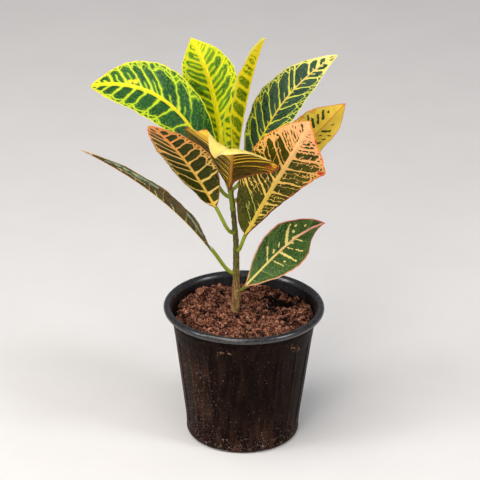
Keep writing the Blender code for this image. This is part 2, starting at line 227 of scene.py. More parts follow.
def wall_radius(height):
    """Outer radius of the tapering body at a height."""
    share = (height - HEEL_HEIGHT) / (COLLAR_FOOT - HEEL_HEIGHT)
    return HEEL_RADIUS + (BODY_RADIUS - HEEL_RADIUS) * share


def arc(centre, radius, start, end, pieces):
    """Points on an arc in the plane of radius and height, angles in degrees from outwards."""
    turns = [math.radians(start + (end - start) * i / pieces) for i in range(pieces + 1)]
    return [(centre[0] + radius * math.cos(a), centre[1] + radius * math.sin(a)) for a in turns]


def pot_profile():
    """From the middle of the inside floor, over the lip, down the outside and under the standing ring."""
    inside = [(0.0, FLOOR_TOP), (PAD_RADIUS, FLOOR_TOP), (FOOT_RADIUS - WALL, FLOOR_TOP)]
    inside += [(HEEL_RADIUS - WALL, HEEL_HEIGHT), (BODY_RADIUS - WALL, COLLAR_FOOT - COLLAR_STEP)]
    inside += [(COLLAR_RADIUS - WALL, COLLAR_FOOT + COLLAR_STEP)]
    inside += [(COLLAR_RADIUS - WALL, POT_HEIGHT - 1.3 * LIP_ROUND)]
    lip = arc((RIM_RADIUS - LIP_ROUND, POT_HEIGHT - LIP_ROUND), LIP_ROUND, 150, -105, 20)
    ledge = [(COLLAR_RADIUS + 1.2 * MM, POT_HEIGHT - 1.8 * LIP_ROUND)]
    ledge += [(COLLAR_RADIUS + 0.2 * MM, POT_HEIGHT - 2.0 * LIP_ROUND)]
    ledge += [(COLLAR_RADIUS, POT_HEIGHT - 2.3 * LIP_ROUND)]
    step = arc((COLLAR_RADIUS - STEP_ROUND, COLLAR_FOOT + STEP_ROUND), STEP_ROUND, 0, -80, 4)
    step += [(BODY_RADIUS + 0.3 * MM, COLLAR_FOOT - 0.5 * MM), (BODY_RADIUS, COLLAR_FOOT - COLLAR_STEP)]
    heights = [FLUTE_TOP + (FLUTE_BOTTOM - FLUTE_TOP) * i / WALL_STEPS for i in range(WALL_STEPS + 1)]
    wall = [(wall_radius(height), height) for height in [COLLAR_FOOT - 6 * MM] + heights]
    heel = arc((HEEL_RADIUS - HEEL_ROUND, HEEL_ROUND), HEEL_ROUND, 20, -80, 8)
    under = [(FOOT_INNER_RADIUS, 0.0), (FOOT_INNER_RADIUS - UNDER_SLOPE, FLOOR_LIFT)]
    under += [(PAD_RADIUS + UNDER_SLOPE, FLOOR_LIFT), (PAD_RADIUS, 0.0), (0.0, 0.0)]
    return inside + lip + ledge + step + wall + heel + under


def turned_body(profile, turns):
    """Spin a profile of (radius, height) points into a closed body."""
    body = bmesh.new()
    ring = [body.verts.new((r, 0.0, z)) for r, z in profile]
    edges = [body.edges.new(pair) for pair in zip(ring, ring[1:])]
    bmesh.ops.spin(
        body, geom=ring + edges, cent=(0, 0, 0), axis=(0, 0, 1), angle=2 * math.pi, steps=turns,
        use_merge=True)
    bmesh.ops.remove_doubles(body, verts=body.verts, dist=SEAM)
    bmesh.ops.recalc_face_normals(body, faces=body.faces)
    return body


def press_flutes(shape):
    """Press the flutes into the wall between upright ribs, fading at both ends."""
    for vertex in shape.verts:
        radius = math.hypot(vertex.co.x, vertex.co.y)
        height = vertex.co.z
        if not FLUTE_BOTTOM < height < FLUTE_TOP or radius < wall_radius(height) - WALL / 2:
            continue
        turn_share = (math.atan2(vertex.co.y, vertex.co.x) / (2 * math.pi) * FLUTES) % 1.0
        from_rib = min(turn_share, 1.0 - turn_share)
        hollow = min(1.0, max(0.0, (from_rib - RIB_TOP) / RIB_SLOPE))
        ends = min(1.0, (height - FLUTE_BOTTOM) / FLUTE_FADE, (FLUTE_TOP - height) / FLUTE_FADE)
        pressed = FLUTE_DEPTH * hollow * hollow * (3 - 2 * hollow) * math.sin(ends * math.pi / 2)
        vertex.co.x *= (radius - pressed) / radius
        vertex.co.y *= (radius - pressed) / radius


def cut_pot(pot, finish):
    """Cut the drain holes and the notches of the standing ring, and bake the cuts into the mesh."""
    holes = bmesh.new()
    for i in range(DRAIN_HOLES):
        angle = 2 * math.pi * (i + 0.5) / DRAIN_HOLES
        at = Matrix.Translation((DRAIN_RING_RADIUS * math.cos(angle), DRAIN_RING_RADIUS * math.sin(angle), 0))
        bmesh.ops.create_cone(
            holes, cap_ends=True, segments=32, depth=4 * FLOOR_TOP, matrix=at,
            radius1=DRAIN_HOLE_RADIUS, radius2=DRAIN_HOLE_RADIUS)
    for i in range(NOTCHES):
        size = Matrix.Diagonal((NOTCH_REACH, NOTCH_WIDTH, 2 * NOTCH_HEIGHT, 1.0))
        out = Matrix.Translation(((FOOT_INNER_RADIUS + HEEL_RADIUS) / 2, 0, 0))
        around = Matrix.Rotation(2 * math.pi * (i + 0.5) / NOTCHES, 4, "Z")
        bmesh.ops.create_cube(holes, size=1.0, matrix=around @ out @ size)
    cutter = new_piece("pot_cutter", holes, finish)
    cut = pot.modifiers.new("holes", "BOOLEAN")
    cut.object = cutter
    cut.solver = "EXACT"
    bpy.context.view_layer.update()
    baked = bpy.data.meshes.new_from_object(pot.evaluated_get(bpy.context.evaluated_depsgraph_get()))
    cleaned = bmesh.new()
    cleaned.from_mesh(baked)
    bmesh.ops.remove_doubles(cleaned, verts=cleaned.verts, dist=CUT_SEAM)
    bmesh.ops.dissolve_degenerate(cleaned, edges=cleaned.edges, dist=CUT_SEAM)
    cleaned.to_mesh(baked)
    cleaned.free()
    pot.modifiers.clear()
    pot.data = baked
    bpy.data.objects.remove(cutter)
    pot.data.set_sharp_from_angle(angle=CREASE)


def sum_up(tree, operation, *values):
    """One step of arithmetic on sockets or numbers."""
    return add_node(tree, "Math", dict(enumerate(values)), operation=operation)


def flecks(tree, place, scale, share):
    """Small uneven specks: the peaks of a fine noise, and more of them as share rises."""
    grain = cloud(tree, place, scale, detail=4.0)
    return fade(tree, sum_up(tree, "ADD", grain, share), 0.70, 0.76)


def plastic(name, roughness, specular, base, wear_and_sheen):
    """Black polypropylene with earth on it, placed by heights in millimetres."""
    finish, tree, shader = new_finish(name, roughness, specular)
    place = object_place(tree)
    x_mm, z_mm = (add_node(tree, "SeparateXYZ", {0: place}, outlet=i) for i in (0, 2))

    def step(operation, *values):
        return sum_up(tree, operation, *values)

    # Where the earth is: low down, down the left side, and in a broken band under the rim.
    low_down = fade(tree, z_mm, 45.0, 0.0)
    left_side = step("MULTIPLY", fade(tree, x_mm, -12.0, -40.0), fade(tree, z_mm, 110.0, 80.0))
    dirty = step("MAXIMUM", low_down, step("MULTIPLY", left_side, 0.8))
    under_rim = step("MULTIPLY", fade(tree, z_mm, 96.0, 108.0), fade(tree, z_mm, 121.0, 115.0))
    splash_place = add_node(tree, "Mapping", {0: place, 1: (20.0, 0.0, 0.0)})
    splashed = fade(tree, cloud(tree, splash_place, 0.030, detail=1.0), 0.48, 0.60)
    splashed = step("MULTIPLY", under_rim, splashed)

    # A film that has run down the wall, fine grit, larger crumbs, and the splashes.
    long_runs = add_node(tree, "Mapping", {0: place, 3: (1.0, 1.0, 0.18)})
    film = fade(tree, cloud(tree, long_runs, 0.11, detail=6.0), 0.42, 0.72)
    film = step("MULTIPLY", film, step("ADD", step("MULTIPLY", dirty, 0.45), 0.04))
    grit = flecks(tree, place, 0.85, step("ADD", step("MULTIPLY", dirty, 0.09), 0.035))
    crumbs = flecks(tree, place, 0.40, step("ADD", step("MULTIPLY", dirty, 0.07), 0.005))
    splash = flecks(tree, place, 0.50, step("SUBTRACT", step("MULTIPLY", splashed, 0.20), 0.04))
    specks = step("MAXIMUM", step("MAXIMUM", crumbs, step("MULTIPLY", grit, 0.75)), splash)

    # Patches of the second colour: brown wear on the outer wall; on the lip and the inside wall, a bluish
    # painted sky reflection.
    colour = mix(tree, fade(tree, cloud(tree, long_runs, 0.22, detail=4.0), 0.35, 0.7), base, wear_and_sheen)
    colour = mix(tree, film, colour, PALE_DUST)
    speck_colour = mix(tree, fade(tree, cloud(tree, place, 0.25), 0.42, 0.6), DRIED_SPLASH, GREY_GRIT)
    colour = mix(tree, step("MULTIPLY", specks, 0.8), colour, speck_colour)
    colour = mix(tree, step("MULTIPLY", splash, 0.8), colour, DRIED_SPLASH)
    tree.links.new(colour, shader.inputs["Base Color"])
    rough = step("ADD", step("MULTIPLY", cloud(tree, place, 0.30), 0.16), roughness - 0.08)
    rough = step("ADD", rough, step("MULTIPLY", step("MAXIMUM", film, specks), 0.5))
    tree.links.new(rough, shader.inputs["Roughness"])
    ripple = step("MULTIPLY", cloud(tree, long_runs, 0.25, detail=4.0), 0.25)
    height = step("ADD", ripple, step("MULTIPLY", specks, 0.3))
    bump = add_node(tree, "Bump", {"Height": height, "Distance": MM, "Strength": 0.6})
    tree.links.new(bump, shader.inputs["Normal"])
    return finish


finish = plastic("black_plastic", 0.46, 0.035, BLACK_PLASTIC, WORN_PLASTIC)
# Lip finish: glossier, its bluish patches a painted sky reflection.
lip_finish = plastic("glossy_lip_plastic_sky_sheen", 0.27, 0.75, BLACK_PLASTIC, LIP_SKY_SHEEN)
# Inside-wall finish: dimmer bluish patches, a painted sky reflection darkened as painted shade.
inner_finish = plastic("inner_plastic_dim_sheen", 0.36, 0.30, BLACK_PLASTIC, INNER_DIM_SHEEN)
shape = turned_body(pot_profile(), POT_TURNS)
press_flutes(shape)
pot = new_piece("nursery_pot", shape, finish)
pot.data.materials.append(lip_finish)
pot.data.materials.append(inner_finish)
for face in pot.data.polygons:
    outward = Vector((face.center.x, face.center.y, 0.0)).dot(face.normal)
    if face.center.z > LIP_FOOT:
        face.material_index = 1
    elif outward < 0 and face.center.z > COLLAR_FOOT:
        face.material_index = 2
cut_pot(pot, finish)
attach(pot, "root")
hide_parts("pot")


# Soil. A coir and laterite mix, filled to a finger's width below the lip, with clods, crumbs, a few pale
# bits and straws on top. The fill is one turned body with an uneven top, and the crumbs lie on it.
SOIL_LEVEL = POT_HEIGHT - 12 * MM
SOIL_CLEARANCE = 0.5 * MM
SOIL_LIFT = 0.3 * MM
SOIL_RADIUS = BODY_RADIUS - WALL - SOIL_CLEARANCE
SOIL_HOLLOW = 11.0 * MM
SOIL_HOLLOW_AT = (36 * MM, 29 * MM)
SOIL_HOLLOW_REACH = 12 * MM
SOIL_RINGS = 64
SOIL_TURNS = 200
CRUMBS = 4200
CRUMB_SIZES = (0.4 * MM, 2.0 * MM)
CLODS = 620
CLOD_SIZES = (1.2 * MM, 5.2 * MM)
PALE_GRAINS = 110
PALE_GRAIN_SIZES = (0.4 * MM, 1.4 * MM)
STRAWS = 44
STRAW_LIFT = 0.6 * MM
# Painted shade for the low places of the soil.
SOIL_PAINTED_SHADE = (0.006, 0.0024, 0.0016, 1.0)
SOIL_DEEP = (0.022, 0.008, 0.005, 1.0)
SOIL_RED = (0.25, 0.085, 0.045, 1.0)
SOIL_LIGHT = (0.60, 0.29, 0.18, 1.0)
SOIL_PALE = (0.40, 0.30, 0.22, 1.0)
picks = random.Random(7)


def soil_level(x, y):
    """The smooth run of the soil's top: slow swells, and a hollow at the right towards the back."""
    at = Vector((x, y, 0.0))
    away = math.hypot(x - SOIL_HOLLOW_AT[0], y - SOIL_HOLLOW_AT[1])
    swell = 2.2 * MM * noise.noise(at / (24 * MM))
    return SOIL_LEVEL + swell - SOIL_HOLLOW * math.exp(-((away / SOIL_HOLLOW_REACH) ** 2))


def soil_height(x, y):
    """The soil's top with its lumps and grains."""
    at = Vector((x, y, 0.0))
    lumps = 3.4 * MM * noise.noise(at / (8.5 * MM)) + 1.8 * MM * noise.noise(at / (3.8 * MM))
    return soil_level(x, y) + lumps + 0.8 * MM * noise.noise(at / (1.6 * MM))


def make_fill():
    """The body of the soil, a little clear of the pot."""
    profile = [(SOIL_RADIUS * i / SOIL_RINGS, SOIL_LEVEL) for i in range(SOIL_RINGS + 1)]
    profile += [(SOIL_RADIUS, COLLAR_FOOT - 2 * COLLAR_STEP), (HEEL_RADIUS - 2 * WALL, HEEL_HEIGHT)]
    profile += [(FOOT_RADIUS - 2 * WALL, FLOOR_TOP + SOIL_LIFT), (0.0, FLOOR_TOP + SOIL_LIFT)]
    body = turned_body(profile, SOIL_TURNS)
    for vertex in body.verts:
        if vertex.co.z > SOIL_LEVEL - 0.1 * MM:
            vertex.co.z = soil_height(vertex.co.x, vertex.co.y)
    return body


def lump_moulds(fineness, count):
    """A few rough lumps to copy, each a knocked-about ball of unit radius."""
    moulds = []
    for _ in range(count):
        ball = bmesh.new()
        bmesh.ops.create_icosphere(ball, subdivisions=fineness, radius=1.0)
        shift = Vector((picks.uniform(-50, 50), picks.uniform(-50, 50), 0.0))
        for vertex in ball.verts:
            dents = 0.6 * noise.noise(vertex.co * 1.3 + shift) + 0.55 * noise.noise(vertex.co * 3.1 + shift)
            vertex.co *= 1.0 + dents
        mould = bpy.data.meshes.new("mould")
        ball.to_mesh(mould)
        ball.free()
        moulds.append(mould)
    return moulds


def scatter(heap, moulds, count, small, large, squash):
    """Lay copies of the moulds on the soil, many small and few large, turned at random."""
    for _ in range(count):
        reach = (SOIL_RADIUS - large / 2) * math.sqrt(picks.random())
        angle = picks.uniform(0, 2 * math.pi)
        x, y = reach * math.cos(angle), reach * math.sin(angle)
        size = small + (large - small) * picks.random() ** 3
        lift = size * picks.uniform(-0.25, 0.35)
        tumble = picks.uniform(0, 2 * math.pi)
        spin = Matrix.Rotation(tumble, 4, picks.choice("XYZ"))
        turn_flat = Matrix.Rotation(picks.uniform(0, 2 * math.pi), 4, "Z")
        grow = Matrix.Diagonal((size, size * picks.uniform(0.7, 1.0), size * squash, 1.0))
        lump = picks.choice(moulds).copy()
        lump.transform(Matrix.Translation((x, y, soil_height(x, y) + lift)) @ turn_flat @ grow @ spin)
        heap.from_mesh(lump)
        bpy.data.meshes.remove(lump)


def grain_luck(tree, place, scale):
    """A random number for each grain, with so many grains a millimetre."""
    colour = add_node(tree, "TexVoronoi", {"Vector": place, "Scale": scale}, outlet=1)
    return add_node(tree, "SeparateColor", {0: colour})


finish, tree, shader = new_finish("potting_soil", roughness=0.95, specular=0.12)
place = object_place(tree)
rise = add_node(tree, "Attribute", outlet=2, attribute_name="rise")
large = grain_luck(tree, place, 0.22)
small = grain_luck(tree, place, 0.65)
fine = cloud(tree, place, 1.0, detail=6.0)
shade = sum_up(tree, "ADD", sum_up(tree, "MULTIPLY", fine, 1.3), sum_up(tree, "MULTIPLY", large, 0.32))
shade = sum_up(tree, "ADD", shade, sum_up(tree, "MULTIPLY", small, 0.45))
colour = mix(tree, fade(tree, shade, 0.84, 1.20), SOIL_DEEP, SOIL_RED)
colour = mix(tree, sum_up(tree, "MULTIPLY", fade(tree, shade, 1.12, 1.42), 0.9), colour, SOIL_LIGHT)
# Painted shade: the soil darkens where it lies below its local level, in the hollow and between lumps.
colour = mix(tree, fade(tree, sum_up(tree, "ADD", rise, fine), 1.7, -0.6), colour, SOIL_PAINTED_SHADE)
tree.links.new(colour, shader.inputs["Base Color"])
height = cloud(tree, place, 1.5, detail=6.0)
tree.links.new(add_node(tree, "Bump", {"Height": height, "Distance": MM}), shader.inputs["Normal"])

heap = make_fill()
scatter(heap, lump_moulds(1, 14), CRUMBS, *CRUMB_SIZES, squash=0.75)
scatter(heap, lump_moulds(2, 12), CLODS, *CLOD_SIZES, squash=0.72)
soil = new_piece("potting_soil", heap, finish)
soil.data.shade_flat()
# Each point's height above the soil's local level, in millimetres, which the finish uses to paint shade in
# the low places.
rise = soil.data.attributes.new("rise", "FLOAT", "POINT")
about = [(soil_level(v.co.x, v.co.y) + SOIL_LEVEL) / 2 for v in soil.data.vertices]
rise.data.foreach_set("value", [(v.co.z - level) / MM for v, level in zip(soil.data.vertices, about)])
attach(soil, "root")
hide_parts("soil")

finish, tree, shader = new_finish("pale_bits", roughness=0.85, specular=0.2)
place = object_place(tree)
colour = mix(tree, fade(tree, cloud(tree, place, 0.35), 0.4, 0.6), SOIL_LIGHT, SOIL_PALE)
tree.links.new(colour, shader.inputs["Base Color"])
bits = bmesh.new()
scatter(bits, lump_moulds(1, 6), PALE_GRAINS, *PALE_GRAIN_SIZES, squash=0.8)
for _ in range(STRAWS):
    reach = (SOIL_RADIUS - 6 * MM) * math.sqrt(picks.random())
    angle = picks.uniform(0, 2 * math.pi)
    at = Vector((reach * math.cos(angle), reach * math.sin(angle), 0.0))
    at.z = soil_height(at.x, at.y) + STRAW_LIFT
    lean = Matrix.Rotation(math.pi / 2 + picks.uniform(-0.3, 0.3), 4, "X")
    heading = Matrix.Rotation(picks.uniform(0, 2 * math.pi), 4, "Z")
    thin = picks.uniform(0.12, 0.32) * MM
    bmesh.ops.create_cone(
        bits, cap_ends=True, segments=6, radius1=thin, radius2=thin * 0.6, depth=picks.uniform(4, 11) * MM,
        matrix=Matrix.Translation(at) @ heading @ lean)
pale_bits = new_piece("pale_bits", bits, finish)
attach(pale_bits, "root")


# Stem. One upright shoot, corky and tan at the soil and green above, swollen where each leaf joins and
# ringed with the scars of leaves it has dropped. It is a drawn-out tube that follows the frame's stem:
# heights, places and radii are in millimetres, and a joint is its height and the bearing of its leaf.
STEM_AXIS = [
    (88, -8.4, 8.3, 4.1),
    (119, -8.4, 8.3, 4.1),
    (145, -7.4, 8.3, 3.2),
    (190, -7.9, 8.3, 2.5),
    (224, -11.2, 8.3, 2.2),
    (246, -14.0, 8.3, 2.0),
    (256, -15.2, 8.8, 1.7),
]
STEM_TOP = 262
STEM_SIDES = 48
STEM_STEPS = 260
JOINTS = [
    (141, -20), (159, 180), (183, -50), (201, 200), (224, -90),
    (231, 30), (236, 160), (241, 105), (243, 20)]
JOINT_SWELL = 0.8
JOINT_REACH = 2.2
SCARS = [124, 129, 133, 137, 150, 154, 168, 174, 192, 210, 216]
SCAR_SWELL = 0.28
SCAR_REACH = 0.8
CORK_TOP = 136.0
GREEN_FOOT = 172.0
CORK_WANDER = 60.0
CORK = (0.40, 0.225, 0.072, 1.0)
CORK_DARK = (0.13, 0.075, 0.028, 1.0)
STEM_OLIVE = (0.060, 0.046, 0.009, 1.0)
STEM_GREEN = (0.155, 0.138, 0.022, 1.0)
PALE_CORK = (0.42, 0.33, 0.20, 1.0)


def stem_line(height):
    """Place and radius of the stem's axis at heights in millimetres, with its bends eased."""
    heights, *columns = np.array(STEM_AXIS, float).T
    spread = (-6, -3, 0, 3, 6)
    return [np.mean([np.interp(height + d, heights, column) for d in spread], axis=0) for column in columns]


def drawn_tube(sides, steps):
    """A capped tube of unit radius and length, ringed with vertices that are then put in place."""
    tube = bmesh.new()
    bmesh.ops.create_cone(tube, cap_ends=True, segments=sides, radius1=1.0, radius2=1.0, depth=1.0)
    rails = [edge for edge in tube.edges if abs(edge.verts[0].co.z - edge.verts[1].co.z) > 0.5]
    bmesh.ops.subdivide_edges(tube, edges=rails, cuts=steps - 1)
    return tube


shape = drawn_tube(STEM_SIDES, STEM_STEPS)
for vertex in shape.verts:
    height = STEM_AXIS[0][0] + (STEM_TOP - STEM_AXIS[0][0]) * (vertex.co.z + 0.5)
    x, y, radius = (float(value) for value in stem_line(height))
    angle = math.atan2(vertex.co.y, vertex.co.x)
    swell = 0.0
    for joint, facing in JOINTS:
        towards = 0.5 + 0.5 * math.cos(angle - math.radians(facing))
        swell += (0.25 + 0.75 * towards) * math.exp(-(((height - joint) / JOINT_REACH) ** 2)) * JOINT_SWELL
    for scar in SCARS:
        swell += SCAR_SWELL * math.exp(-(((height - scar) / SCAR_REACH) ** 2))
    rough = 0.25 * noise.noise(Vector((math.cos(angle) * 2, math.sin(angle) * 2, height / 5)))
    rough += 0.12 * noise.noise(Vector((math.cos(angle) * 5, math.sin(angle) * 5, height / 2)))
    closing = max(0.0, (height - STEM_AXIS[-1][0]) / (STEM_TOP - STEM_AXIS[-1][0]))
    radius = (radius + swell + rough) * (1 - closing ** 2) + 0.1
    vertex.co = Vector((x + radius * math.cos(angle), y + radius * math.sin(angle), height)) * MM

finish, tree, shader = new_finish("green_bark", roughness=0.6, specular=0.25)
place = object_place(tree)
z_mm = add_node(tree, "SeparateXYZ", {0: place}, outlet=2)
long_grain = add_node(tree, "Mapping", {0: place, 3: (1.0, 1.0, 0.22)})
grain = cloud(tree, long_grain, 0.8, detail=5.0)
patchy = sum_up(tree, "MULTIPLY", sum_up(tree, "SUBTRACT", cloud(tree, place, 0.12), 0.5), CORK_WANDER)
rise = sum_up(tree, "ADD", z_mm, patchy)
colour = mix(tree, fade(tree, grain, 0.38, 0.62), CORK_DARK, CORK)
green = mix(tree, fade(tree, grain, 0.35, 0.7), STEM_OLIVE, STEM_GREEN)
colour = mix(tree, fade(tree, rise, CORK_TOP, GREEN_FOOT), colour, green)
lenticels = flecks(tree, long_grain, 0.8, 0.02)
colour = mix(tree, sum_up(tree, "MULTIPLY", lenticels, 0.6), colour, PALE_CORK)
tree.links.new(colour, shader.inputs["Base Color"])
height = sum_up(tree, "ADD", grain, sum_up(tree, "MULTIPLY", lenticels, 0.5))
tree.links.new(add_node(tree, "Bump", {"Height": height, "Distance": 0.4 * MM}), shader.inputs["Normal"])
stem = new_piece("stem_shoot", shape, finish)
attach(stem, "root")
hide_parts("stem")


# Leaves. Each is one living sheet about half a millimetre thick with its own round petiole: a drawn-out
# tube, flattened into a blade, folded along its midrib, puffed between its side veins and waved at its
# edge. Sizes are in millimetres and angles in degrees.
LEAF_SIDES = 96
PETIOLE_STEPS = 24
BLADE_STEPS = 130
PETIOLE_RADIUS = 1.75
PETIOLE_FOOT_RADIUS = 2.5
PETIOLE_SUNK = 0.6
PETIOLE_STRAIGHT_OUT = 0.20
PETIOLE_STRAIGHT_IN = 0.45
SHEET = 0.6
RIB_RADIUS = 1.5
RIB_GROOVE = 0.12
RIB_SHOULDER = 3
TIP_RADIUS = 0.35
BLADE_OPENING = 1 / 8
ACROSS_POWER = 1.6
SPARE_VEINS = 8
HOOK_REACH = 30


def along_curve(points, share):
    """Places and directions on a cubic curve of four points."""
    a, b, c, d = (np.array(point, float) for point in points)
    far = share[:, None]
    near = 1 - far
    places = a * near**3 + b * 3 * far * near**2 + c * 3 * far**2 * near + d * far**3
    ways = (b - a) * near**2 + (c - b) * 2 * far * near + (d - c) * far**2
    return places, ways / np.linalg.norm(ways, axis=1)[:, None]


def of_half(value, on_left):
    """A number for both halves of a blade, or a (left, right) pair of them."""
    return np.where(on_left, *value) if isinstance(value, tuple) else value


def blade_outline(leaf, share, on_left):
    """Width of the blade, as a share of its widest, along the midrib."""
    widest = of_half(leaf["widest"], on_left)
    rise = np.where(share < widest, share / widest, (1 - share) / (1 - widest))
    power = np.where(share < widest, of_half(leaf["belly"], on_left), of_half(leaf["point"], on_left))
    rounded = np.sin(math.pi / 2 * rise)
    return (rounded + (rise - rounded) * of_half(leaf.get("corner", 0.0), on_left)) ** power


def blade_frames(leaf, ways, share):
    """Sideways and upward directions along the blade, rolled about the midrib."""
    facing = math.radians(leaf["faces"])
    level = np.array([-math.sin(facing), math.cos(facing), 0.0])
    up = np.cross(ways, level)
    up /= np.linalg.norm(up, axis=1)[:, None]
    side = np.cross(up, ways)
    roll = np.radians(leaf["roll"][0] + (leaf["roll"][1] - leaf["roll"][0]) * share)[:, None]
    return side * np.cos(roll) + up * np.sin(roll), up * np.cos(roll) - side * np.sin(roll)


def petiole_points(leaf):
    """From inside the stem's skin, straight out of it, up into the base of the blade."""
    joint = leaf["joint"]
    x, y, radius = stem_line(np.array([joint - 0.5, joint, joint + 0.5]))
    axis = np.array([x[1], y[1], joint])
    lean = np.array([x[2] - x[0], y[2] - y[0], 1.0])
    lean /= np.linalg.norm(lean)
    base, ways = along_curve(leaf["midrib"], np.array([0.0]))
    out = base[0] - axis
    out -= lean * out.dot(lean)
    out /= np.linalg.norm(out)
    start = axis + out * (radius[1] - PETIOLE_SUNK)
    reach = np.linalg.norm(base[0] - start)
    leaving = start + out * reach * PETIOLE_STRAIGHT_OUT
    arriving = base[0] - ways[0] * reach * PETIOLE_STRAIGHT_IN
    return start, leaving, arriving, base[0]


def vein_phase(leaf, across, along):
    """Counts the side veins passed at points of the blade, and the gap between two there."""
    phase = np.zeros_like(across)
    gap = np.ones_like(across)
    for half, chosen in ((leaf["veins_left"], across >= 0), (leaf["veins_right"], across < 0)):
        starts = np.array([start for start, slant in half], float)
        slants = np.array([slant for start, slant in half], float)
        first, last = starts[1] - starts[0], starts[-1] - starts[-2]
        before = starts[0] - first * np.arange(SPARE_VEINS, 0, -1)
        after = starts[-1] + last * np.arange(1, SPARE_VEINS + 1)
        starts = np.concatenate([before, starts, after])
        slants = np.concatenate([[slants[0]] * SPARE_VEINS, slants, [slants[-1]] * SPARE_VEINS])
        reach = np.abs(across)
        begun = along.copy()
        for _ in range(4):
            slope = np.tan(np.radians(np.interp(begun, starts, slants)))
            begun = along - reach * slope - leaf["hook"] * reach**2 / HOOK_REACH
        numbers = np.arange(len(starts), dtype=float)
        middles = (starts[1:] + starts[:-1]) / 2
        gaps = np.interp(begun, middles, np.diff(starts)) / np.sqrt(1 + slope**2)
        phase = np.where(chosen, np.interp(begun, starts, numbers), phase)
        gap = np.where(chosen, gaps, gap)
    return phase, gap


def make_leaf(name, leaf, finish):
    """Build the named leaf and hide the frame's leaf of the same name.

    The petiole leaves the stem at the height joint. The midrib is a cubic curve from the blade's base to its
    tip, and faces is the bearing the leaf points along. left and right are the widths of its halves, widest
    is the share of its length where they are reached, belly and point are how fast the outline narrows below
    and above it, and corner straightens it. These and droop may be (left, right) pairs; fold and roll are
    angles at the base and the tip. puff, wave and dish are heights. A side vein is where it starts and its
    slant, and hook bends it forward.
    """
    steps = PETIOLE_STEPS + BLADE_STEPS
    piece = new_piece(name, drawn_tube(LEAF_SIDES, steps), finish)
    count = len(piece.data.vertices)
    tube = np.zeros(count * 3)
    piece.data.vertices.foreach_get("co", tube)
    tube = tube.reshape(-1, 3)
    step = np.rint((tube[:, 2] + 0.5) * steps).astype(int)
    turn = np.arctan2(tube[:, 1], tube[:, 0])

    petiole_share = np.linspace(0, 1, PETIOLE_STEPS + 1)[:-1]
    blade_share = np.linspace(0, 1, BLADE_STEPS + 1)
    stalk, stalk_ways = along_curve(petiole_points(leaf), petiole_share)
    midrib, rib_ways = along_curve(leaf["midrib"], blade_share)
    centres = np.concatenate([stalk, midrib])
    stalk_side, stalk_up = blade_frames(leaf, stalk_ways, 0 * petiole_share)
    blade_side, blade_up = blade_frames(leaf, rib_ways, blade_share)
    sides = np.concatenate([stalk_side, blade_side])[step]
    ups = np.concatenate([stalk_up, blade_up])[step]
    run = np.concatenate([[0], np.cumsum(np.linalg.norm(np.diff(centres, axis=0), axis=1))])
    along = (run - run[PETIOLE_STEPS])[step]
    share = np.concatenate([0 * petiole_share, blade_share])[step]
    stalk_share = np.concatenate([petiole_share, 1 + 0 * blade_share])[step]

    round_left = np.clip(1 - share / BLADE_OPENING, 0, 1)
    turned, lift = np.cos(turn), np.sin(turn)
    spread = np.sign(turned) * np.abs(turned) ** ACROSS_POWER
    spread = spread * (1 - round_left) + turned * round_left
    reach = np.abs(spread)
    ripple = 1 + 0.012 * np.sin(along / 3.1 + np.sign(turned)) + 0.008 * np.sin(along / 1.3)
    on_left = turned > 0
    half = np.where(on_left, leaf["left"], leaf["right"]) * blade_outline(leaf, share, on_left) * ripple
    rib = RIB_RADIUS + (TIP_RADIUS - RIB_RADIUS) * share
    foot = np.clip(1 - stalk_share * 5, 0, 1)
    stalk_radius = PETIOLE_RADIUS + (PETIOLE_FOOT_RADIUS - PETIOLE_RADIUS) * foot**2
    rib = rib + (stalk_radius - rib) * round_left
    fold = np.radians(leaf["fold"][0] + (leaf["fold"][1] - leaf["fold"][0]) * share) * (1 - round_left)
    sideways = np.hypot(half, rib) * spread * np.cos(fold)
    raised = half * reach * (np.sin(fold) - of_half(leaf["droop"], on_left) * reach)

    phase, gap = vein_phase(leaf, half * spread, along)
    near_rib = np.clip(1 - np.abs(sideways) / (RIB_SHOULDER * rib), 0, 1)
    near_rib = near_rib**2 * (3 - 2 * near_rib)
    bulge = np.where(lift < 0, 1.0, -RIB_GROOVE + (1 + RIB_GROOVE) * round_left)
    thick = SHEET / 2 + (rib - SHEET / 2) * near_rib * bulge
    room = (1 - near_rib) * (1 - reach**4) * (1 - round_left) * np.clip((1 - share) * 6, 0, 1)
    puffed = leaf["puff"] * np.sin(math.pi * phase) ** 2 * room
    waves = leaf["wave"] * np.sin(2 * math.pi * along / leaf["wave_length"] + 1.7 * np.sign(turned))
    waved = (waves + 0.3 * leaf["wave"] * np.sin(along / 2.3)) * reach**3 * (1 - round_left)
    waved = waved * np.clip((1 - share) * 5, 0, 1)
    dished = leaf["dish"] * (reach**2 - reach) * (1 - round_left)
    points = centres[step] + sides * sideways[:, None]
    points = points + ups * (raised + thick * lift + puffed + waved + dished)[:, None]
    piece.data.vertices.foreach_set("co", (points * MM).ravel())

    below = np.where(lift < -1e-6, 1.0, 0.0)
    place = piece.data.attributes.new("place", "FLOAT_VECTOR", "POINT")
    place.data.foreach_set("vector", np.stack([half * spread, along, half], axis=1).ravel())
    vein = piece.data.attributes.new("vein", "FLOAT_VECTOR", "POINT")
    vein.data.foreach_set("vector", np.stack([phase, gap, below], axis=1).ravel())
    piece.data.update()
    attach(piece, "root")
    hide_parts(name)


# Leaf colouring. Croton blades are green cells walled in by bright veins; where a leaf ripens the veins
# widen and turn from yellow to orange and pink. Each leaf has one palette above and one below.
# A value may be a (left, right) pair, one for each half of the blade; widths and sizes are millimetres.
NO_VEIN = -100.0
OUT_OF_REACH = 50.0
RUN_OUT_SLOPE = 20.0
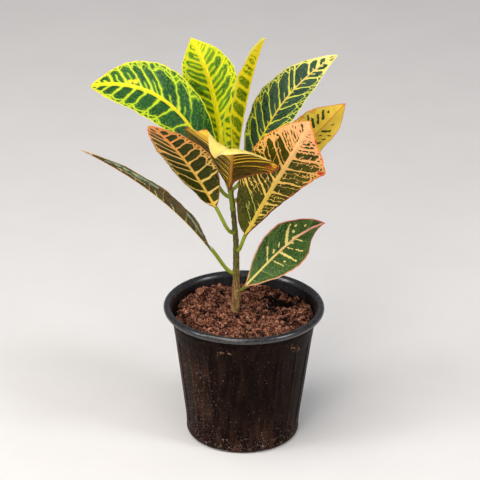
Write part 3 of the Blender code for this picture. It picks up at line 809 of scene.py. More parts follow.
# Chance and noise are kept apart between the two halves, the two faces, and the kinds of line.
HALVES_APART = 40.0
FACES_APART = 30.0
ROW_SEED = 0.2
CELL_SEED = 0.3
LINE_SEED = 0.7
VEINING = dict(
    # Side veins: widths at the midrib and the margin, widening at the midrib, and the share left out.
    side=1.5, side_end=0.8, flare=0.9, missing=0.0,
    # The finer vein between two of them, and the share of the way out where it ends.
    between=0.6, between_end=0.65,
    # Arches that join the side veins: width, share of the way out, and how far they bow.
    arch=0.8, arch_at=0.78, bow=0.07,
    # The net past the arches: line width, cell size, and the share of the length where it begins.
    fringe=0.5, fringe_cell=4.0, fringe_from=0.0,
    # Fine veins in step with the side veins: how many to each, width, share left out, and sway.
    strips=2, strip=NO_VEIN, strip_missing=0.15, sway=0.5,
    # Cross links between the fine veins: width, spacing, and share left out.
    cross=NO_VEIN, cross_gap=7.0, cross_missing=0.3,
    # Midrib widths at base and tip, margin width, and the glow beside every vein.
    rib=1.6, rib_end=1.6, edge=0.9, halo=0.8,
    # How far lines wander, how rough they are, and how streaked and speckled the cells are.
    wobble=0.35, ragged=0.5, streaks=0.5, mottle=0.25,
    # How far the base is bare of veins, and how far they swell towards the tip and the margin.
    bare=NO_VEIN, lost_tip=0.0, lost_from=0.7, lost_edge=0.0,
    # Single strokes of start, end, width and colour, and round spots of place, size and colour.
    marks=(), spots=())


def tint(red, green, blue):
    """A colour read off a swatch, from 0 to 255, in the shader's linear terms."""
    parts = [value / 255 for value in (red, green, blue)]
    return tuple(((p + 0.055) / 1.055) ** 2.4 if p > 0.04 else p / 12.92 for p in parts) + (1.0,)


def palette(like=(), **swatches):
    """The tints of a skin's parts by name, those not given being like another palette's."""
    return dict(like, **{part: tint(*swatch) for part, swatch in swatches.items()})


def strokes(colour, *lines):
    """Strokes of one colour, each given as its start, its end and its width."""
    return [line + (colour,) for line in lines]


def add_marks(tree, colour, flat, drawn, marks, spots):
    """Paint single strokes and round spots over a colour, their outlines a little shaken."""

    def vectors(operation, first, second, outlet=0):
        """One step of arithmetic on two vectors."""
        return add_node(tree, "VectorMath", {0: first, 1: second}, outlet=outlet, operation=operation)

    shaken = add_node(tree, "TexNoise", {"Vector": flat, "Scale": 0.45, "Detail": 2.0}, outlet=1)
    shaken = vectors("SUBTRACT", shaken, (0.5, 0.5, 0.5))
    shaken = add_node(tree, "VectorMath", {0: shaken, "Scale": 3.0}, operation="SCALE")
    loose = vectors("ADD", drawn, shaken)
    loose_x, loose_y = (add_node(tree, "SeparateXYZ", {0: loose}, outlet=i) for i in range(2))
    loose = add_node(tree, "CombineXYZ", {0: loose_x, 1: loose_y})
    for x, y, end_x, end_y, width, mark_colour in marks:
        line = Vector((end_x - x, end_y - y, 0.0))
        out = vectors("SUBTRACT", loose, (x, y, 0.0))
        run = vectors("DOT_PRODUCT", out, line / line.length_squared, outlet=1)
        run = add_node(tree, "Clamp", {0: run})
        foot = add_node(tree, "VectorMath", {0: line, "Scale": run}, operation="SCALE")
        off = vectors("DISTANCE", out, foot, outlet=1)
        colour = mix(tree, fade(tree, off, width / 2 + 0.15, width / 2 - 0.25), colour, mark_colour)
    for x, y, size, spot_colour in spots:
        off = vectors("DISTANCE", loose, (x, y, 0.0), outlet=1)
        colour = mix(tree, fade(tree, off, size, size * 0.4), colour, spot_colour)
    return colour


def leaf_finish(name, length, top, under, veining):
    """The living skin of one leaf, drawn from its place and vein attributes."""
    finish, tree, shader = new_finish(name, roughness=0.45, specular=0.16)
    way = dict(VEINING, **veining)
    place = add_node(tree, "Attribute", outlet=1, attribute_name="place")
    vein = add_node(tree, "Attribute", outlet=1, attribute_name="vein")
    across, along, half = (add_node(tree, "SeparateXYZ", {0: place}, outlet=i) for i in range(3))
    phase, gap, below = (add_node(tree, "SeparateXYZ", {0: vein}, outlet=i) for i in range(3))

    def step(operation, *values):
        return sum_up(tree, operation, *values)

    on_left = step("GREATER_THAN", across, 0.0)

    def of(key, factor=1.0):
        """A value of the veining times a factor, switched by half where it is a pair."""
        value = way[key]
        if not isinstance(value, tuple):
            return value * factor
        return step("ADD", value[1] * factor, step("MULTIPLY", on_left, (value[0] - value[1]) * factor))

    def chance_of(number):
        """A random number that goes with a whole number."""
        return add_node(tree, "TexWhiteNoise", {"W": number}, noise_dimensions="1D")

    def nearest(count):
        """The nearest whole number."""
        return step("FLOOR", step("ADD", count, 0.5))

    def off_line(count, spacing):
        """Distance to the nearest whole number, in the spacing's millimetres."""
        off = step("ABSOLUTE", step("SUBTRACT", step("FRACT", step("ADD", count, 0.5)), 0.5))
        return step("MULTIPLY", off, spacing)

    def left_out(line, value, limit):
        """Distance to a line, made too far to show where the value is under the limit."""
        return step("ADD", line, step("MULTIPLY", step("LESS_THAN", value, limit), OUT_OF_REACH))

    # Where a point lies: how far out, how far along, and a gentle wander that no line escapes.
    reach = step("ABSOLUTE", across)
    outward = step("DIVIDE", reach, step("MAXIMUM", half, 0.5))
    share = step("DIVIDE", along, length)
    which_half = step("MULTIPLY", on_left, HALVES_APART)
    drawn = add_node(tree, "CombineXYZ", {0: across, 1: along})
    flat = add_node(tree, "CombineXYZ", {0: across, 1: along, 2: step("MULTIPLY", below, FACES_APART)})
    wander = step("SUBTRACT", cloud(tree, flat, 0.13, detail=2.0), 0.5)
    tremble = step("SUBTRACT", cloud(tree, flat, 0.9, detail=3.0), 0.5)
    phase = step("ADD", phase, step("MULTIPLY", wander, of("wobble")))

    # Side veins: broad at the midrib, finer towards the margin, no two alike.
    luck = chance_of(step("ADD", nearest(phase), which_half))
    width = step("ADD", of("side"), step("MULTIPLY", outward, step("SUBTRACT", of("side_end"), of("side"))))
    width = step("MULTIPLY", width, step("ADD", 0.75, step("MULTIPLY", luck, 0.5)))
    width = step("ADD", width, step("MULTIPLY", fade(tree, reach, 6.0, 0.5), of("flare")))
    side = step("SUBTRACT", off_line(phase, gap), step("MULTIPLY", width, 0.5))
    side = left_out(side, luck, of("missing"))

    # A finer vein half-way between two, that runs out before the margin.
    cell_luck = chance_of(step("ADD", step("FLOOR", phase), step("ADD", which_half, CELL_SEED)))
    between = step("SUBTRACT", off_line(step("ADD", phase, 0.5), gap), of("between", 0.5))
    run_out = step("MULTIPLY", of("between_end"), step("ADD", 0.45, step("MULTIPLY", cell_luck, 0.9)))
    past_end = step("MAXIMUM", step("SUBTRACT", outward, run_out), 0.0)
    between = step("ADD", between, step("MULTIPLY", past_end, RUN_OUT_SLOPE))

    # Arches join the side veins short of the margin, and a net of small cells fills the fringe past them.
    bow = step("MULTIPLY", step("COSINE", step("MULTIPLY", phase, 2 * math.pi)), of("bow", -1.0))
    uneven = step("MULTIPLY", step("SUBTRACT", cell_luck, 0.5), 0.08)
    ring = step("ADD", of("arch_at"), step("ADD", bow, uneven))
    past_arch = step("MULTIPLY", step("SUBTRACT", outward, ring), half)
    too_low = step("LESS_THAN", share, of("fringe_from"))
    past_arch = step("SUBTRACT", past_arch, step("MULTIPLY", too_low, OUT_OF_REACH))
    arch = step("SUBTRACT", step("ABSOLUTE", past_arch), of("arch", 0.5))
    sockets = {"Vector": drawn, "Scale": 1 / way["fringe_cell"], "Randomness": 0.9}
    net = add_node(tree, "TexVoronoi", sockets, voronoi_dimensions="2D", feature="DISTANCE_TO_EDGE")
    net = step("SUBTRACT", step("MULTIPLY", net, way["fringe_cell"]), of("fringe", 0.5))
    net = left_out(net, past_arch, 0.0)
    cell_colour = add_node(tree, "TexVoronoi", sockets, outlet=1, voronoi_dimensions="2D")
    small_luck = add_node(tree, "SeparateColor", {0: cell_colour})

    # Fine veins in step with the side veins, tied by short cross links into a brickwork of long cells.
    sway = step("MULTIPLY", step("SUBTRACT", cloud(tree, flat, 0.30, detail=1.0), 0.5), of("sway"))
    lines = step("MULTIPLY", step("ADD", phase, sway), of("strips"))
    line_gap = step("DIVIDE", gap, of("strips"))
    line_luck = chance_of(step("ADD", nearest(lines), step("ADD", which_half, LINE_SEED)))
    strip = step("SUBTRACT", off_line(lines, line_gap), of("strip", 0.5))
    strip = left_out(strip, line_luck, of("strip_missing"))
    row = step("FLOOR", lines)
    row_luck = chance_of(step("ADD", row, step("ADD", which_half, ROW_SEED)))
    links = step("ADD", step("DIVIDE", reach, of("cross_gap")), step("MULTIPLY", row_luck, 7.0))
    links = step("ADD", links, wander)
    cross = step("SUBTRACT", off_line(links, of("cross_gap")), of("cross", 0.5))
    link_number = step("ADD", nearest(links), step("MULTIPLY", row, 11.0))
    link_luck = chance_of(step("ADD", link_number, which_half))
    cross = left_out(cross, link_luck, of("cross_missing"))

    # Veins hold back over the bare base, and swell until they drown the cells where the leaf has ripened.
    veined = side
    for line in (between, arch, net, strip, cross):
        veined = step("MINIMUM", veined, line)
    held = step("MULTIPLY", fade(tree, along, of("bare"), step("SUBTRACT", of("bare"), 12.0)), 1.1)
    ripened = fade(tree, share, way["lost_from"], 1.0)
    lost = step("MULTIPLY", ripened, of("lost_tip"))
    lost = step("ADD", lost, step("MULTIPLY", fade(tree, outward, 0.55, 1.0), of("lost_edge")))
    lost = step("MULTIPLY", lost, step("ADD", 0.5, small_luck))
    veined = step("ADD", step("SUBTRACT", veined, lost), held)
    veined = step("ADD", veined, step("MULTIPLY", tremble, of("ragged")))

    rib_width = step("ADD", of("rib", 0.5), step("MULTIPLY", share, (way["rib_end"] - way["rib"]) / 2))
    ribbed = step("SUBTRACT", step("SUBTRACT", reach, rib_width), step("MULTIPLY", wander, 0.6))
    edge_width = step("ADD", of("edge"), step("MULTIPLY", wander, 1.2))
    edged = step("SUBTRACT", step("SUBTRACT", half, reach), edge_width)

    def both(part):
        """A part's colour, from the upper or the under palette."""
        return mix(tree, below, top[part], under[part])

    # The cells: streaked along the veins, finely speckled, with a glow beside every vein.
    streak_place = add_node(tree, "CombineXYZ", {
        0: step("MULTIPLY", phase, 5.0), 1: step("MULTIPLY", reach, 0.16), 2: which_half})
    streak = fade(tree, cloud(tree, streak_place, 1.0, detail=2.0), 0.35, 0.65)
    fine = cloud(tree, flat, 0.45, detail=4.0)
    shades = mix(tree, way["streaks"], fade(tree, fine, 0.35, 0.7), streak)
    shades = step("ADD", step("MULTIPLY", shades, 0.7), step("MULTIPLY", cell_luck, 0.3))
    green = mix(tree, shades, both("cell"), both("shade"))
    speckled = step("MULTIPLY", fade(tree, cloud(tree, flat, 0.5, detail=3.0), 0.48, 0.66), of("mottle"))
    speckled = step("MULTIPLY", speckled, step("ADD", 0.35, fade(tree, outward, 0.4, 1.0)))
    green = mix(tree, speckled, green, both("halo"))
    colour = mix(tree, fade(tree, veined, 0.0, way["halo"]), both("halo"), green)

    # The veins, the ripened tip, the midrib, the margin, single marks, and the stalk.
    inside = fade(tree, veined, -0.15, 0.20)
    veins = mix(tree, fade(tree, share, 0.15, 0.95), both("vein"), both("vein_end"))
    colour = mix(tree, inside, veins, colour)
    colour = mix(tree, step("MULTIPLY", ripened, step("SUBTRACT", 1.0, inside)), colour, both("tip"))
    ribs = mix(tree, fade(tree, share, 0.2, 0.9), both("rib"), both("rib_end"))
    colour = mix(tree, fade(tree, ribbed, 0.25, -0.15), colour, ribs)
    edges = mix(tree, fade(tree, step("ADD", share, wander), 0.3, 0.8), both("edge"), both("edge_end"))
    colour = mix(tree, fade(tree, edged, 0.25, -0.2), colour, edges)
    colour = add_marks(tree, colour, flat, drawn, way["marks"], way["spots"])
    colour = mix(tree, fade(tree, along, 2.0, -2.0), colour, both("stalk"))
    tree.links.new(colour, shader.inputs["Base Color"])

    # A waxy gloss, duller below, on cells that stand up above and are hollow below.
    gloss = step("ADD", step("MULTIPLY", below, 0.14), step("MULTIPLY", fine, 0.16))
    tree.links.new(step("ADD", gloss, 0.34), shader.inputs["Roughness"])
    raised = step("SUBTRACT", 1.0, step("MULTIPLY", below, 2.0))
    puffs = step("MULTIPLY", fade(tree, veined, -0.3, 1.4), raised)
    height = step("ADD", step("MULTIPLY", puffs, 0.22), step("MULTIPLY", fine, 0.10))
    bump = add_node(tree, "Bump", {"Height": height, "Distance": MM, "Strength": 0.8})
    tree.links.new(bump, shader.inputs["Normal"])
    return finish


GREEN_TOP = palette(
    cell=(12, 54, 26), shade=(50, 98, 50), halo=(108, 154, 26), vein=(192, 204, 42), vein_end=(202, 208, 48),
    rib=(218, 202, 36), rib_end=(226, 218, 36), edge=(206, 208, 48), edge_end=(226, 218, 56),
    tip=(218, 212, 48), stalk=(132, 142, 38))
YELLOW_TOP = palette(
    cell=(36, 76, 0), shade=(94, 134, 36), halo=(144, 176, 12), vein=(214, 210, 16), vein_end=(214, 210, 26),
    rib=(228, 214, 20), rib_end=(232, 216, 28), edge=(204, 206, 74), edge_end=(218, 214, 90),
    tip=(214, 210, 28), stalk=(150, 156, 40))
OLIVE_UNDER = palette(
    cell=(52, 42, 8), shade=(84, 76, 20), halo=(120, 92, 36), vein=(206, 172, 92), vein_end=(216, 166, 104),
    rib=(210, 176, 84), rib_end=(224, 160, 90), edge=(196, 146, 80), edge_end=(226, 146, 84),
    tip=(232, 160, 100), stalk=(132, 142, 38))
PALE_UNDER = palette(
    cell=(86, 112, 44), shade=(108, 132, 56), halo=(160, 170, 62), vein=(206, 198, 84),
    vein_end=(214, 200, 90), rib=(220, 200, 84), rib_end=(220, 200, 84), edge=(206, 192, 90),
    edge_end=(220, 200, 104), tip=(224, 206, 96), stalk=(136, 138, 50))


# Upper left leaf. A full-grown green leaf that arches out to the left, its yellow midrib broadest towards
# the tip, with long slanting veins in the upper half and big many-sided cells in the lower.
GOLD = tint(240, 208, 34)
leaf = dict(
    joint=236, faces=165, midrib=((-28, 10, 254), (-55, 18, 335), (-100, 21, 345), (-143, 45, 329)),
    left=30, right=30, widest=0.60, belly=0.65, point=0.78, fold=(12, 12), droop=0.0, roll=(-45, -20),
    puff=0.5, wave=0.7, wave_length=38, dish=2.0, hook=0.15,
    veins_left=[(20, 22), (38, 20), (58, 16), (77, 12), (91, 8), (106, 5), (116, 5), (128, 15), (140, 25)],
    veins_right=[(18, 45), (36, 44), (54, 42), (70, 40), (89, 40), (99, 40), (109, 40), (123, 40), (137, 40)])
veining = dict(
    side=(1.9, 1.3), side_end=(1.0, 0.8), flare=1.6, between=(NO_VEIN, 0.5), between_end=0.4,
    arch=(1.1, 0.6), arch_at=(0.82, 0.80), fringe=(0.5, 0.4), fringe_cell=6.6, fringe_from=(0.0, 0.40),
    rib=1.4, rib_end=5.4, edge=1.1, halo=1.7, mottle=0.8, bare=(30, 70), lost_tip=0.8, lost_from=0.76,
    lost_edge=0.2, spots=[(-6, 118, 3.6, GOLD), (-5, 123, 3.0, GOLD)])
finish = leaf_finish("green_leaf_skin", 163, GREEN_TOP, PALE_UNDER, veining)
make_leaf("leaf_upper_left", leaf, finish)


# Top yellow leaf. A broad young leaf that stands behind the others, still mostly bright yellow-green,
# with a wide yellow midrib and strong yellow side veins.
leaf = dict(
    joint=241, faces=115, midrib=((-21, 29, 260), (-26, 47, 315), (-38, 60, 347), (-52, 78, 365)),
    left=28, right=27, widest=0.56, belly=0.80, point=1.05, fold=(10, 10), droop=0.0, roll=(6, -3),
    puff=0.45, wave=0.5, wave_length=30, dish=1.5, hook=0.4,
    veins_left=[(16, 24), (30, 24), (43, 24), (57, 24), (72, 22), (85, 18), (94, 23), (104, 35)],
    veins_right=[(16, 30), (30, 30), (43, 30), (54, 30), (65, 27), (77, 25), (89, 25), (100, 35), (108, 35)])
veining = dict(
    side=2.0, side_end=1.2, flare=2.0, between=0.6, between_end=0.6, arch=0.9, arch_at=0.78, fringe=0.5,
    fringe_cell=5.0, rib=5.4, rib_end=4.2, edge=0.9, halo=2.2, mottle=1.0, streaks=0.8, lost_tip=0.8,
    lost_from=0.8, lost_edge=0.25)
finish = leaf_finish("yellow_leaf_skin", 122, YELLOW_TOP, PALE_UNDER, veining)
make_leaf("leaf_top_yellow", leaf, finish)


# Top folded leaf. The youngest leaf, still folded like a half-open book, that shows the outside of one
# half: deep yellow midrib, olive cells and yellow side veins that run nearly level.
leaf = dict(
    joint=248, faces=30, midrib=((-9, 15, 266), (-6, 22, 292), (2, 34, 346), (16, 24, 385)),
    left=25, right=26, widest=0.42, belly=0.80, point=0.60, fold=(34, 34), droop=0.0, roll=(-10, -46),
    puff=0.35, wave=0.5, wave_length=34, dish=1.0, hook=0.1,
    veins_left=[
        (10, -14), (24, -18), (37, -20), (46, -19), (58, -15), (71, -22), (82, -24), (92, -24), (103, -24)],
    veins_right=[(12, 25), (26, 25), (40, 25), (54, 25), (68, 25), (80, 25), (92, 28), (104, 30)])
under = palette(
    cell=(62, 94, 0), shade=(132, 150, 8), halo=(188, 188, 10), vein=(240, 218, 18), vein_end=(244, 218, 28),
    rib=(244, 214, 18), rib_end=(248, 214, 28), edge=(216, 190, 80), edge_end=(226, 206, 110),
    tip=(236, 208, 42), stalk=(150, 146, 44))
veining = dict(
    side=2.6, side_end=2.0, flare=1.2, between=NO_VEIN, arch=1.0, arch_at=0.90, fringe=1.0, fringe_cell=5.0,
    strips=2, strip=1.1, strip_missing=0.45, sway=0.8, rib=3.0, rib_end=4.0, edge=1.2, halo=1.8, mottle=1.4,
    streaks=1.0, ragged=1.0, lost_tip=1.2, lost_from=0.7, lost_edge=0.9)
finish = leaf_finish("folded_leaf_skin", 123, YELLOW_TOP, under, veining)
make_leaf("leaf_top_folded", leaf, finish)


# Upper right leaf. Full-grown and dark blue-green, with fine yellow veins, a cream margin, and a long
# cream tip that still has green spots in it.
leaf = dict(
    joint=243, faces=25, midrib=((-2, 11, 256), (18, 14, 302), (34, 32, 336), (83, 48, 361)),
    left=28, right=28, widest=0.50, belly=0.90, point=0.88, fold=(11, 11), droop=0.0, roll=(5, 18),
    puff=0.5, wave=0.6, wave_length=36, dish=1.5, hook=0.3,
    veins_left=[
        (10, 35), (24, 35), (37, 35), (47, 35), (59, 35), (73, 35), (87, 35), (93, 35), (111, 38), (122, 38)],
    veins_right=[(14, 35), (28, 35), (41, 35), (54, 35), (69, 35), (82, 35), (93, 35), (106, 38), (118, 38)])
top = palette(
    GREEN_TOP, cell=(8, 34, 24), shade=(70, 94, 76), halo=(88, 124, 48), vein=(200, 206, 56),
    vein_end=(222, 212, 104), rib=(216, 190, 50), rib_end=(234, 192, 106), edge=(190, 184, 78),
    edge_end=(228, 216, 126), tip=(234, 222, 128))
veining = dict(
    side=1.2, side_end=0.8, flare=1.0, between=0.4, between_end=0.22, arch=0.8, arch_at=(0.80, 0.72),
    bow=0.09, fringe=0.25, fringe_cell=5.4, rib=2.0, rib_end=1.4, edge=0.9, halo=0.7, mottle=0.8,
    lost_tip=1.5, lost_from=0.74, lost_edge=0.15, spots=[(26, 66, 2.6, tint(226, 190, 50))])
finish = leaf_finish("dark_leaf_skin", 144, top, PALE_UNDER, veining)
make_leaf("leaf_upper_right", leaf, finish)


# Back right leaf. A ripe leaf, clear yellow with an orange flush and a few orange dots at its margin, on
# which only a few long dark green flecks are left of the cells.
FLECK_GREEN = tint(52, 66, 10)
FLECK_RUST = tint(176, 84, 26)
FLUSH = tint(246, 160, 56)
even_veins = [(12, 20), (24, 20), (36, 20), (48, 20), (60, 20), (72, 20), (84, 20), (95, 25), (105, 30)]
leaf = dict(
    joint=231, faces=35, midrib=((4, 15, 241), (48, 37, 265), (74, 54, 290), (92, 64, 307)),
    left=27, right=27, widest=0.55, belly=0.80, point=1.0, fold=(14, 14), droop=0.0, roll=(6, 4),
    puff=0.4, wave=0.7, wave_length=32, dish=1.5, hook=0.3, veins_left=even_veins, veins_right=even_veins)
top = palette(
    cell=(255, 214, 50), shade=(255, 208, 84), halo=(255, 222, 84), vein=(255, 214, 50),
    vein_end=(255, 222, 80), rib=(246, 200, 60), rib_end=(246, 156, 74), edge=(240, 150, 60),
    edge_end=(236, 132, 84), tip=(250, 216, 80), stalk=(140, 134, 50))
under = palette(PALE_UNDER, cell=(150, 130, 50), halo=(200, 170, 74), vein=(222, 190, 94))
flecks_left = strokes(
    FLECK_GREEN, (22.8, 80, 20.5, 82, 2.0), (19.7, 89, 16.9, 87, 2.3), (14.8, 90, 7.2, 84.5, 2.6),
    (13, 96, 6.8, 90, 2.5), (12.3, 102, 6.1, 96, 2.4), (7.8, 105, 6.6, 104, 2.0), (20, 74, 12, 69, 2.4),
    (24, 72, 21, 70, 1.8), (14, 62, 6, 57, 2.4), (22, 62, 17, 59, 2.2))
flecks_right = strokes(
    FLECK_GREEN, (-10, 97, -8.8, 96, 2.0), (-4.3, 86, -13.6, 90, 2.4), (-6.5, 81, -8.5, 82, 2.0),
    (-14.6, 79, -18, 81, 2.0), (-5, 70, -16, 75, 2.6), (-20, 86, -17, 85, 1.7), (-4, 58, -15, 62, 2.6))
rust_dots = strokes(
    FLECK_RUST, (24.6, 77, 24.0, 77.8, 1.4), (25.2, 83, 24.4, 83.6, 1.3), (25.0, 89, 24.4, 89.4, 1.2),
    (22.4, 74, 21.6, 74.6, 1.3), (25.6, 72, 25.0, 72.4, 1.3), (22.8, 85.6, 22.2, 86.0, 1.2))
veining = dict(
    side=1.2, side_end=0.8, between=NO_VEIN, arch=0.8, fringe=0.6, rib=1.8, rib_end=1.4, edge=1.0, halo=0.8,
    mottle=0.4, marks=flecks_left + flecks_right + rust_dots,
    spots=[(21, 96, 5.0, tint(248, 176, 60)), (25, 84, 4.0, FLUSH), (24, 70, 3.0, FLUSH)])
finish = leaf_finish("ripe_leaf_skin", 121, top, under, veining)
make_leaf("leaf_back_right", leaf, finish)


# Front right leaf. The largest leaf, standing up with its underside to the front: a broad peach midrib,
# a net of cream and peach veins over dark olive, a salmon tip and an orange edge with red blots.
BLOT_RED = tint(212, 52, 40)
PALE_LINE = tint(206, 204, 90)
leaf = dict(
    joint=183, faces=-85, midrib=((1, -4, 204), (30, -16, 270), (44, -38, 298), (57, -48, 334)),
    left=34.5, right=33, widest=(0.63, 0.42), belly=(0.80, 0.58), point=(1.0, 0.75), corner=(0.9, 0.0),
    fold=(7, 7), droop=(0.0, -0.14), roll=(0, -44), puff=0.45, wave=0.6, wave_length=40, dish=1.0, hook=0.1,
    veins_left=[
        (12, 18), (24.5, 14), (39.5, 2), (54.5, 3), (68, 10), (87, 13), (100.5, 22), (114, 28), (127, 30)],
    veins_right=[
        (12, 30), (24.5, 30), (33.5, 32), (48, 38), (66, 40), (84, 41), (103, 30), (113, 33), (126, 35)])
ripe_under = palette(
    OLIVE_UNDER, cell=(30, 34, 0), shade=(78, 84, 8), halo=(142, 104, 34), vein=(234, 198, 92),
    vein_end=(242, 174, 104), rib=(222, 186, 70), rib_end=(238, 186, 126), edge=(104, 38, 14),
    edge_end=(242, 136, 60), tip=(242, 172, 120), stalk=(140, 148, 40))
veining = dict(
    side=1.9, side_end=1.2, flare=1.4, between=NO_VEIN, arch=1.0, arch_at=0.82, bow=0.09, fringe=0.8,
    fringe_cell=3.6, fringe_from=(0.52, 0.56), strips=3, strip=0.50, strip_missing=0.2, cross=0.34,
    cross_gap=6.5, cross_missing=0.55, sway=0.4, rib=3.2, rib_end=4.8, edge=(1.5, 0.8), halo=0.4,
    mottle=(0.7, 0.35), bare=(NO_VEIN, 50), lost_tip=1.0, lost_from=0.62, lost_edge=0.2,
    marks=strokes(PALE_LINE, (-1, 14, -13, 30, 0.6), (-1, 26, -18, 46, 0.7), (-9, 26, -12, 34, 0.5)),
    spots=[(13, 133, 3.2, BLOT_RED), (30, 100, 3.4, BLOT_RED)])
finish = leaf_finish("front_leaf_skin", 149, GREEN_TOP, ripe_under, veining)
make_leaf("leaf_front_right", leaf, finish)


# Front left leaf. Held up on the left of the stem with its underside showing: peach veins round large
# dark cells, an orange midrib and a salmon tip.
leaf = dict(
    joint=201, faces=-125, midrib=((-27, -6, 232), (-46, -2, 266), (-63, -24, 299), (-85, -54, 331)),
    left=25, right=28, widest=0.50, belly=0.70, point=0.75, fold=(12, 12), droop=0.0, roll=(16, 12),
    puff=0.4, wave=0.5, wave_length=34, dish=1.0, hook=0.2,
    veins_left=[(4, 9), (15, 9), (29, 8), (39, 22), (54, 20), (64, 26), (79, 20), (90, 19), (102, 20)],
    veins_right=[(3, 18), (16, 19), (28.5, 26), (43, 8), (51, 8), (60, 24), (69, 30), (78, 45), (92, 45)])
under = palette(
    ripe_under, cell=(26, 30, 0), shade=(58, 70, 4), halo=(118, 90, 20), vein=(228, 194, 104),
    vein_end=(236, 152, 76), rib=(226, 176, 66), rib_end=(238, 152, 76), edge=(150, 110, 50),
    edge_end=(236, 140, 76), tip=(236, 150, 88))
veining = dict(
    side=1.8, side_end=(1.3, 1.1), flare=1.2, between=NO_VEIN, arch=(1.2, 0.7), arch_at=(0.78, 0.88),
    fringe=0.6, fringe_cell=4.4, fringe_from=(0.30, 0.20), rib=2.8, rib_end=3.6, edge=0.9, halo=0.7,
    mottle=0.8, lost_tip=1.4, lost_from=0.66, lost_edge=0.25, spots=[(-12, 112, 2.6, BLOT_RED)])
finish = leaf_finish("left_leaf_skin", 128, GREEN_TOP, under, veining)
make_leaf("leaf_front_left", leaf, finish)


# Front centre leaf. It rises towards the viewer, shows its brown and gold striped underside, and arches
# over at the crest so that the pale yellow upper face of its drooping tip is seen.
RUST = tint(120, 56, 14)
EMBER = tint(206, 92, 32)
leaf = dict(
    joint=224, faces=-95, midrib=((-14, 0, 247), (-14, -17, 282), (-6, -79, 334), (-27, -72, 308)),
    left=45, right=50, widest=0.39, belly=(2.5, 1.75), point=(2.1, 0.70), fold=(24, 12), droop=(0.3, 0.0),
    roll=(-7, -12), puff=0.5, wave=0.6, wave_length=33, dish=0.0, hook=0.0,
    veins_left=[
        (9, 18), (17, 18), (24.5, 18), (31.8, 18), (38.2, 12), (46.4, 23), (54.1, 22), (62, 22), (70, 22)],
    veins_right=[
        (5, 30), (13.4, 31), (21.3, 35), (33.3, 25), (44.2, 33), (55, 36), (66, 40), (77, 42), (88, 44)])
top = palette(
    GREEN_TOP, cell=(212, 200, 92), shade=(228, 206, 98), halo=(232, 210, 98), vein=(236, 212, 94),
    vein_end=(238, 216, 102), rib=(234, 206, 108), rib_end=(234, 200, 116), edge=(234, 206, 120),
    edge_end=(238, 206, 128), tip=(238, 214, 108))
under = palette(
    OLIVE_UNDER, cell=(40, 24, 0), shade=(96, 74, 6), halo=(130, 98, 8), vein=(240, 202, 44),
    vein_end=(246, 184, 44), rib=(182, 128, 40), rib_end=(206, 152, 48), edge=(124, 70, 20),
    edge_end=(206, 84, 30), tip=(236, 190, 60))
beside_rib = strokes(RUST, (1.7, 4, 1.7, 52, 0.9), (-1.7, 4, -1.7, 52, 0.9))
embers = strokes(
    EMBER, (32, 46, 38, 48, 1.6), (33, 50, 42, 52.5, 1.8), (35, 42, 40, 43, 1.4), (36, 56, 43, 58.5, 1.6))
veining = dict(
    side=(1.7, 3.2), side_end=(1.3, 3.4), flare=0.6, between=NO_VEIN, arch=NO_VEIN, fringe=NO_VEIN,
    strips=(1, 2), strip=(NO_VEIN, 2.6), strip_missing=0.0, sway=0.1, wobble=0.2, ragged=0.4, rib=4.0,
    rib_end=3.0, edge=(2.2, 1.3), halo=0.6, mottle=0.3, streaks=0.9, bare=(46, 64), lost_tip=(0.8, 1.7),
    lost_from=0.45, marks=beside_rib + embers)
finish = leaf_finish("arched_leaf_skin", 113, top, under, veining)
make_leaf("leaf_front_centre", leaf, finish)


# Low left leaf. A long narrow leaf seen nearly edge-on: olive-brown below, grey-green with cream spots
# above, and a thin cream-pink tip.
GREY_GREEN = tint(120, 140, 108)
DEEP_GREEN = tint(40, 66, 44)
MARK_PALE = tint(206, 198, 140)
even_veins = [(10, 30), (24, 30), (38, 28), (52, 25), (68, 25), (85, 25), (100, 28), (116, 30), (132, 32)]
leaf = dict(
    joint=159, faces=182, midrib=((-31, 4, 185), (-47, -2, 208), (-78, -5, 250), (-150, -6, 287)),
    left=21, right=21, widest=0.50, belly=1.3, point=0.90, fold=(22, 22), droop=0.0, roll=(12, 30),
    puff=0.4, wave=0.5, wave_length=40, dish=1.0, hook=0.2, veins_left=even_veins, veins_right=even_veins)
top = palette(
    GREEN_TOP, cell=(60, 80, 52), shade=(104, 118, 84), halo=(150, 156, 104), vein=(206, 198, 140),
    vein_end=(222, 210, 166), rib=(212, 196, 140), rib_end=(230, 200, 170), edge=(190, 188, 132),
    edge_end=(230, 214, 172), tip=(234, 210, 174))
under = palette(
    OLIVE_UNDER, cell=(42, 32, 6), shade=(94, 78, 26), halo=(116, 80, 28), vein=(150, 136, 60),
    vein_end=(160, 130, 70), rib=(170, 164, 50), rib_end=(206, 150, 84), edge=(92, 96, 70),
    edge_end=(206, 176, 130), tip=(236, 200, 164))
grey_patches = strokes(
    GREY_GREEN, (14, 84, 11, 104, 4.5), (10, 100, 7, 126, 4.0), (8, 122, 4, 134, 2.5),
    (6, 20, 14.5, 47, 2.6))
green_spots = strokes(DEEP_GREEN, (12, 92, 11, 97, 2.0), (9, 106, 8, 112, 2.2), (7, 118, 6, 124, 1.8))
cream_spots = strokes(
    MARK_PALE, (5.5, 92, 4, 122, 0.9), (11, 104, 10, 108, 1.3), (9, 113, 8, 117, 1.3),
    (7, 122, 6, 125, 1.1), (12, 95, 11.5, 97, 1.0), (1, 54, 6, 62, 0.8), (1, 76, 6, 82, 0.8))
veining = dict(
    side=0.5, side_end=0.2, flare=0.8, missing=0.2, between=NO_VEIN, arch=NO_VEIN, fringe=NO_VEIN, rib=1.8,
    rib_end=1.2, edge=0.8, halo=0.8, mottle=0.8, streaks=0.8, lost_tip=1.2, lost_from=0.84,
    marks=grey_patches + green_spots + cream_spots)
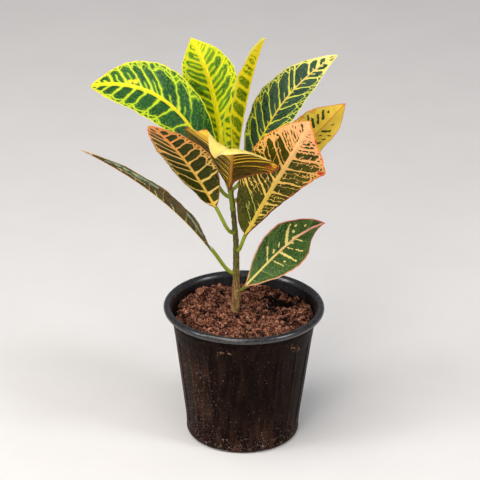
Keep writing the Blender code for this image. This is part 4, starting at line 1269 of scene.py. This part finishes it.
finish = leaf_finish("low_left_leaf_skin", 159, top, under, veining)
make_leaf("leaf_low_left", leaf, finish)


# Low right leaf. A dark green leaf with few marks: an irregular cream midrib that turns pink at the
# drawn-out tip, some short cream veins and a pink-red margin.
MARK_CREAM = tint(232, 212, 124)
leaf = dict(
    joint=141, faces=10, midrib=((2, 5, 147), (38, 11, 190), (56, 28, 194), (74, 16, 207)),
    left=24, right=30, widest=0.44, belly=0.85, point=1.10, fold=(7, 7), droop=0.0, roll=(46, 0),
    puff=0.35, wave=0.4, wave_length=30, dish=1.0, hook=0.2,
    veins_left=[(6, 40), (16, 40), (29.5, 40), (41, 38), (54, 36), (64, 38), (76, 40), (86, 40)],
    veins_right=[(8, 18), (20, 18), (34, 18), (44.5, 16), (52, 30), (62, 32), (74, 34), (86, 36)])
top = palette(
    GREEN_TOP, cell=(22, 54, 12), shade=(84, 112, 50), halo=(112, 134, 66), vein=(120, 136, 66),
    vein_end=(140, 140, 84), rib=(226, 206, 110), rib_end=(240, 160, 140), edge=(220, 160, 110),
    edge_end=(212, 88, 84), tip=(236, 150, 140), stalk=(122, 118, 46))
under = palette(OLIVE_UNDER, edge=(190, 90, 76), edge_end=(196, 84, 76), stalk=(122, 118, 46))
cream_veins = strokes(
    MARK_CREAM, (1, 54, 12, 62, 2.6), (12, 62, 17, 67, 1.6), (1, 30, 12, 39.5, 1.2),
    (7.0, 65.7, 8.6, 66.4, 2.4), (12.0, 70, 13.0, 70.8, 2.0), (6.4, 76.6, 7.4, 77.6, 1.8),
    (0, 56, -3, 60, 2.2), (2, 62, 1, 68, 2.0), (-2, 45, -14, 48.5, 2.3), (-14, 48.5, -22.9, 51, 1.4),
    (-3.2, 53, -9, 55.5, 1.5), (-12, 58, -19.5, 62, 1.4), (-4.4, 35, -15.5, 39, 1.0),
    (-12.6, 42, -13.4, 42.3, 1.8), (-1.5, 64, -9, 68, 1.2), (3, 40, 5, 42, 1.6), (4, 47, 7, 50, 1.3))
veining = dict(
    side=0.2, side_end=0.0, flare=0.7, missing=0.5, between=NO_VEIN, arch=NO_VEIN, fringe=NO_VEIN, rib=1.5,
    rib_end=3.2, edge=1.3, halo=0.5, mottle=0.7, streaks=0.4, lost_tip=3.0, lost_from=0.90,
    marks=cream_veins)
finish = leaf_finish("pink_tip_leaf_skin", 97, top, under, veining)
make_leaf("leaf_low_right", leaf, finish)


# Last, the scene's view layer is brought up to date.
bpy.context.view_layer.update()
